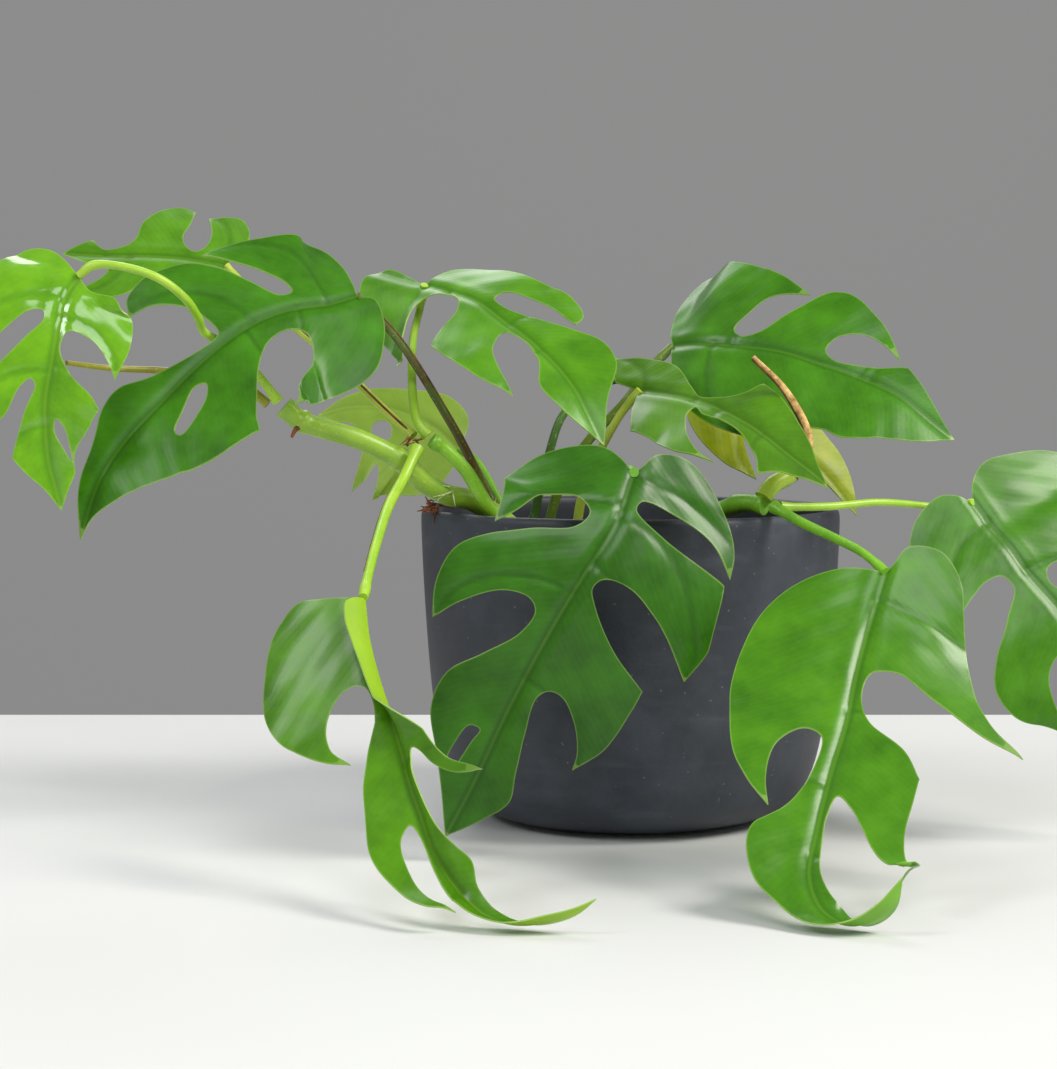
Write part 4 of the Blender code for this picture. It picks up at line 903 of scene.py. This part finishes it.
# ---- Back left leaf -----------------------------------------------------------------------------
# The furthest blade, behind the upper left leaf.
# Satin wax above, paler and dull below. Its rib, hold and edge are as make_leaf says.
make_leaf(
    "leaf_back_left",
    rib=(((-162, 74, 213), (-.1, -.7, .7)), ((-180, 78, 216), (-.1, -.7, .7)),
         ((-196, 80, 217), (-.1, -.7, .7)), ((-213, 82, 217), (-.1, -.7, .7)),
         ((-231, 84, 218), (-.1, -.7, .7))),
    hold=((0, 4, 4, 4, 4), (70, 6, 3, 6, 3)),
    edge=(((0, 0), (-4, 13), (-2, 22), (5, 28), (16, 25)),
          ((12, 15), (12, 8), (15, 4), (19, 6), (22, 12), (21, 20), (21, 28)),
          ((27, 30), (34, 27), (39, 20), (41, 9), (47, 4), (54, 4), (59, 9)),
          ((64, 5), (70, 0)),
          ((59, -5), (49, -8), (51, -14), (59, -22)),
          ((48, -25), (37, -21), (31, -12), (25, -12), (21, -19), (24, -28)),
          ((7, -23), (-1, -14), (0, 0))),
    holes=(),
    upper="579503", deep="396b02", vein="7baa28", under="5e931e", gloss=0.34, wave=0.8)


# ---- Far right leaf -----------------------------------------------------------------------------
# A wide blade at the end of a level stalk.
# Satin wax above, paler and dull below. Its rib, hold and edge are as make_leaf says.
make_leaf(
    "leaf_far_right",
    rib=(((124, -42, 123), (.05, -.85, .5)), ((131, -47, 113), (.1, -.88, .5)),
         ((136, -51, 107), (.1, -.88, .45)), ((142, -55, 98), (.1, -.9, .4)),
         ((152, -60, 86), (.1, -.9, .4)), ((161, -63, 72), (.1, -.92, .35)),
         ((170, -65, 55), (.1, -.92, .3)), ((175, -66, 34), (.1, -.92, .3))),
    hold=((0, 2, 3, 2, 3), (60, 6, 4, 6, 4), (110, 8, 3, 8, 3)),
    edge=(((0, 0), (-5, 4), (-8, 9), (-7, 17), (-3, 25), (4, 31), (17, 33), (33, 30)),
          ((31, 23), (29, 15), (30, 9), (35, 8), (42, 18), (52, 30), (63, 37), (73, 37), (86, 31),
           (98, 19)),
          ((82, 21), (70, 18), (65, 10), (71, 8), (85, 9), (108, 0)),
          ((97, -8), (88, -9), (80, -8)),
          ((70, -7), (65, -10), (65, -15), (75, -20), (84, -19)),
          ((74, -29), (62, -29), (53, -19), (48, -7), (41, -4), (36, -8), (39, -18), (48, -27),
           (59, -33)),
          ((48, -44), (23, -50), (8, -49), (-3, -39), (-9, -25), (-11, -13), (-6, -4), (0, 0))),
    holes=(),
    upper="458303", deep="295c02", vein="6c9f26", under="5a911e", gloss=0.3, wave=1.0)


# ---- Low left leaf ------------------------------------------------------------------------------
# A hanging blade whose right half is folded up, so its yellow-green underside shows.
# Satin wax above, paler and dull below. Its rib, hold and edge are as make_leaf says.
make_leaf(
    "leaf_low_left",
    rib=(((-94, -128, 96), (-.35, -.8, .45)), ((-92, -136, 83), (-.35, -.8, .4)),
         ((-88, -144, 70), (-.35, -.8, .4)), ((-84, -151, 60), (-.35, -.8, .4)),
         ((-80, -160, 49), (-.4, -.8, .5)), ((-77, -169, 40), (-.4, -.8, .5)),
         ((-73, -177, 31), (-.4, -.8, .5)), ((-69, -186, 22), (-.3, -.8, .55)),
         ((-64, -193, 15), (-.2, -.7, .7)), ((-58, -199, 9), (0, -.5, .9)),
         ((-52, -204, 5), (.1, -.2, 1)), ((-43, -207, 3), (0, .2, 1)), ((-34, -209, 4), (0, .5, .9)),
         ((-25, -210, 7), (0, .6, .8)), ((-19, -210, 11), (0, .6, .8))),
    hold=((0, 10, 6, 112, 0), (20, 12, 5, 112, 0), (40, 16, 4, 100, 0), (58, 20, 3, 28, 2),
          (120, 20, 0, 25, 0), (135, 5, 0, 5, 0)),
    edge=(((0, 0), (-3, 14), (-4, 24), (3, 32), (15, 38), (29, 41), (43, 35), (54, 25), (58, 17)),
          ((50, 22), (39, 21), (32, 15), (30, 9), (32, 5), (37, 4), (43, 5), (57, 11), (75, 16),
           (93, 19), (106, 17), (118, 15), (124, 9)),
          ((115, 11), (102, 10), (91, 8), (87, 4), (94, 2), (107, 3), (118, 5), (128, 5), (142, 5),
           (154, 3), (165, 0)),
          ((152, -3), (140, -5), (127, -4), (119, -5), (111, -9), (104, -8), (88, -4), (76, -3),
           (66, -3), (61, -5), (64, -8), (72, -12), (80, -18), (85, -24), (88, -30)),
          ((82, -25), (75, -19), (67, -15), (58, -12), (46, -9), (34, -8), (20, -8), (10, -10), (4, -9),
           (0, 0))),
    holes=(),
    upper="559203", deep="376902", vein="82a729", under="93bc18", gloss=0.3, wave=0.7)


# ---- Back low leaf ------------------------------------------------------------------------------
# A small pale blade behind the left stems.
# Satin wax above, paler and dull below. Its rib, hold and edge are as make_leaf says.
make_leaf(
    "leaf_back_low",
    rib=(((-66, 30, 139), (-.1, -.8, .6)), ((-78, 32, 149), (-.1, -.8, .6)),
         ((-93, 34, 155), (-.1, -.8, .6)), ((-109, 35, 156), (-.1, -.8, .6)),
         ((-121, 36, 153), (-.1, -.8, .6))),
    hold=((0, 4, 4, 4, 4), (60, 6, 3, 6, 3)),
    edge=(((0, 0), (6, 12), (16, 15), (28, 11), (42, 8), (52, 4), (62, 0)),
          ((55, -6), (47, -9), (42, -16), (42, -26), (47, -40)),
          ((36, -34), (29, -26), (24, -32), (20, -40)),
          ((6, -32), (-3, -20), (-3, -8), (0, 0))),
    holes=(((32, -6), (38, -8), (37, -16), (31, -18), (28, -11)),),
    upper="88a83c", deep="749430", vein="a4bc60", under="8ea848", gloss=0.4, wave=0.7)


# ---- Camera, light and colour ------------------------------------------------------------------
# A long lens a metre in front, a little above the rim. A soft key lamp high on the right, weak lamps
# on the left and behind that catch the leaf edges, one over the front of the table, and a dim even room.
bpy.ops.object.camera_add(location=(-0.0388, -1.0, 0.1788), rotation=(math.radians(85.95), 0, 0))
camera = bpy.context.object
camera.data.lens = 88.2
camera.data.sensor_width = 36
camera.data.clip_start = 0.01
bpy.context.scene.camera = camera


def soft_lamp(name, place, target, size, power, hex_colour):
    """A square area lamp that faces the target."""
    lamp = bpy.data.lights.new(name, "AREA")
    lamp.size = size
    lamp.energy = power
    lamp.color = linear(hex_colour)[:3]
    holder = bpy.data.objects.new(name, lamp)
    holder.location = place
    holder.visible_camera = False
    holder.rotation_euler = (Vector(target) - Vector(place)).to_track_quat("-Z", "Y").to_euler()
    bpy.context.collection.objects.link(holder)


soft_lamp("key", (1.05, -0.55, 1.2), (0, -0.05, 0.1), 0.6, 23, "fffaf0")
soft_lamp("fill", (-1.1, -0.7, 1.0), (-0.1, 0, 0.12), 0.4, 6, "ffffff")
soft_lamp("front", (0.2, -1.7, 1.5), (0, -0.7, 0), 1.0, 15, "ffffff")
soft_lamp("back", (-0.3, 0.9, 1.1), (0, 0, 0.12), 0.7, 6, "ffffff")
room = bpy.data.worlds.new("room")
room.use_nodes = True
room.node_tree.nodes["Background"].inputs["Color"].default_value = linear("f0f0ec")
room.node_tree.nodes["Background"].inputs["Strength"].default_value = 0.4
bpy.context.scene.world = room
bpy.context.scene.view_settings.view_transform = "Standard"
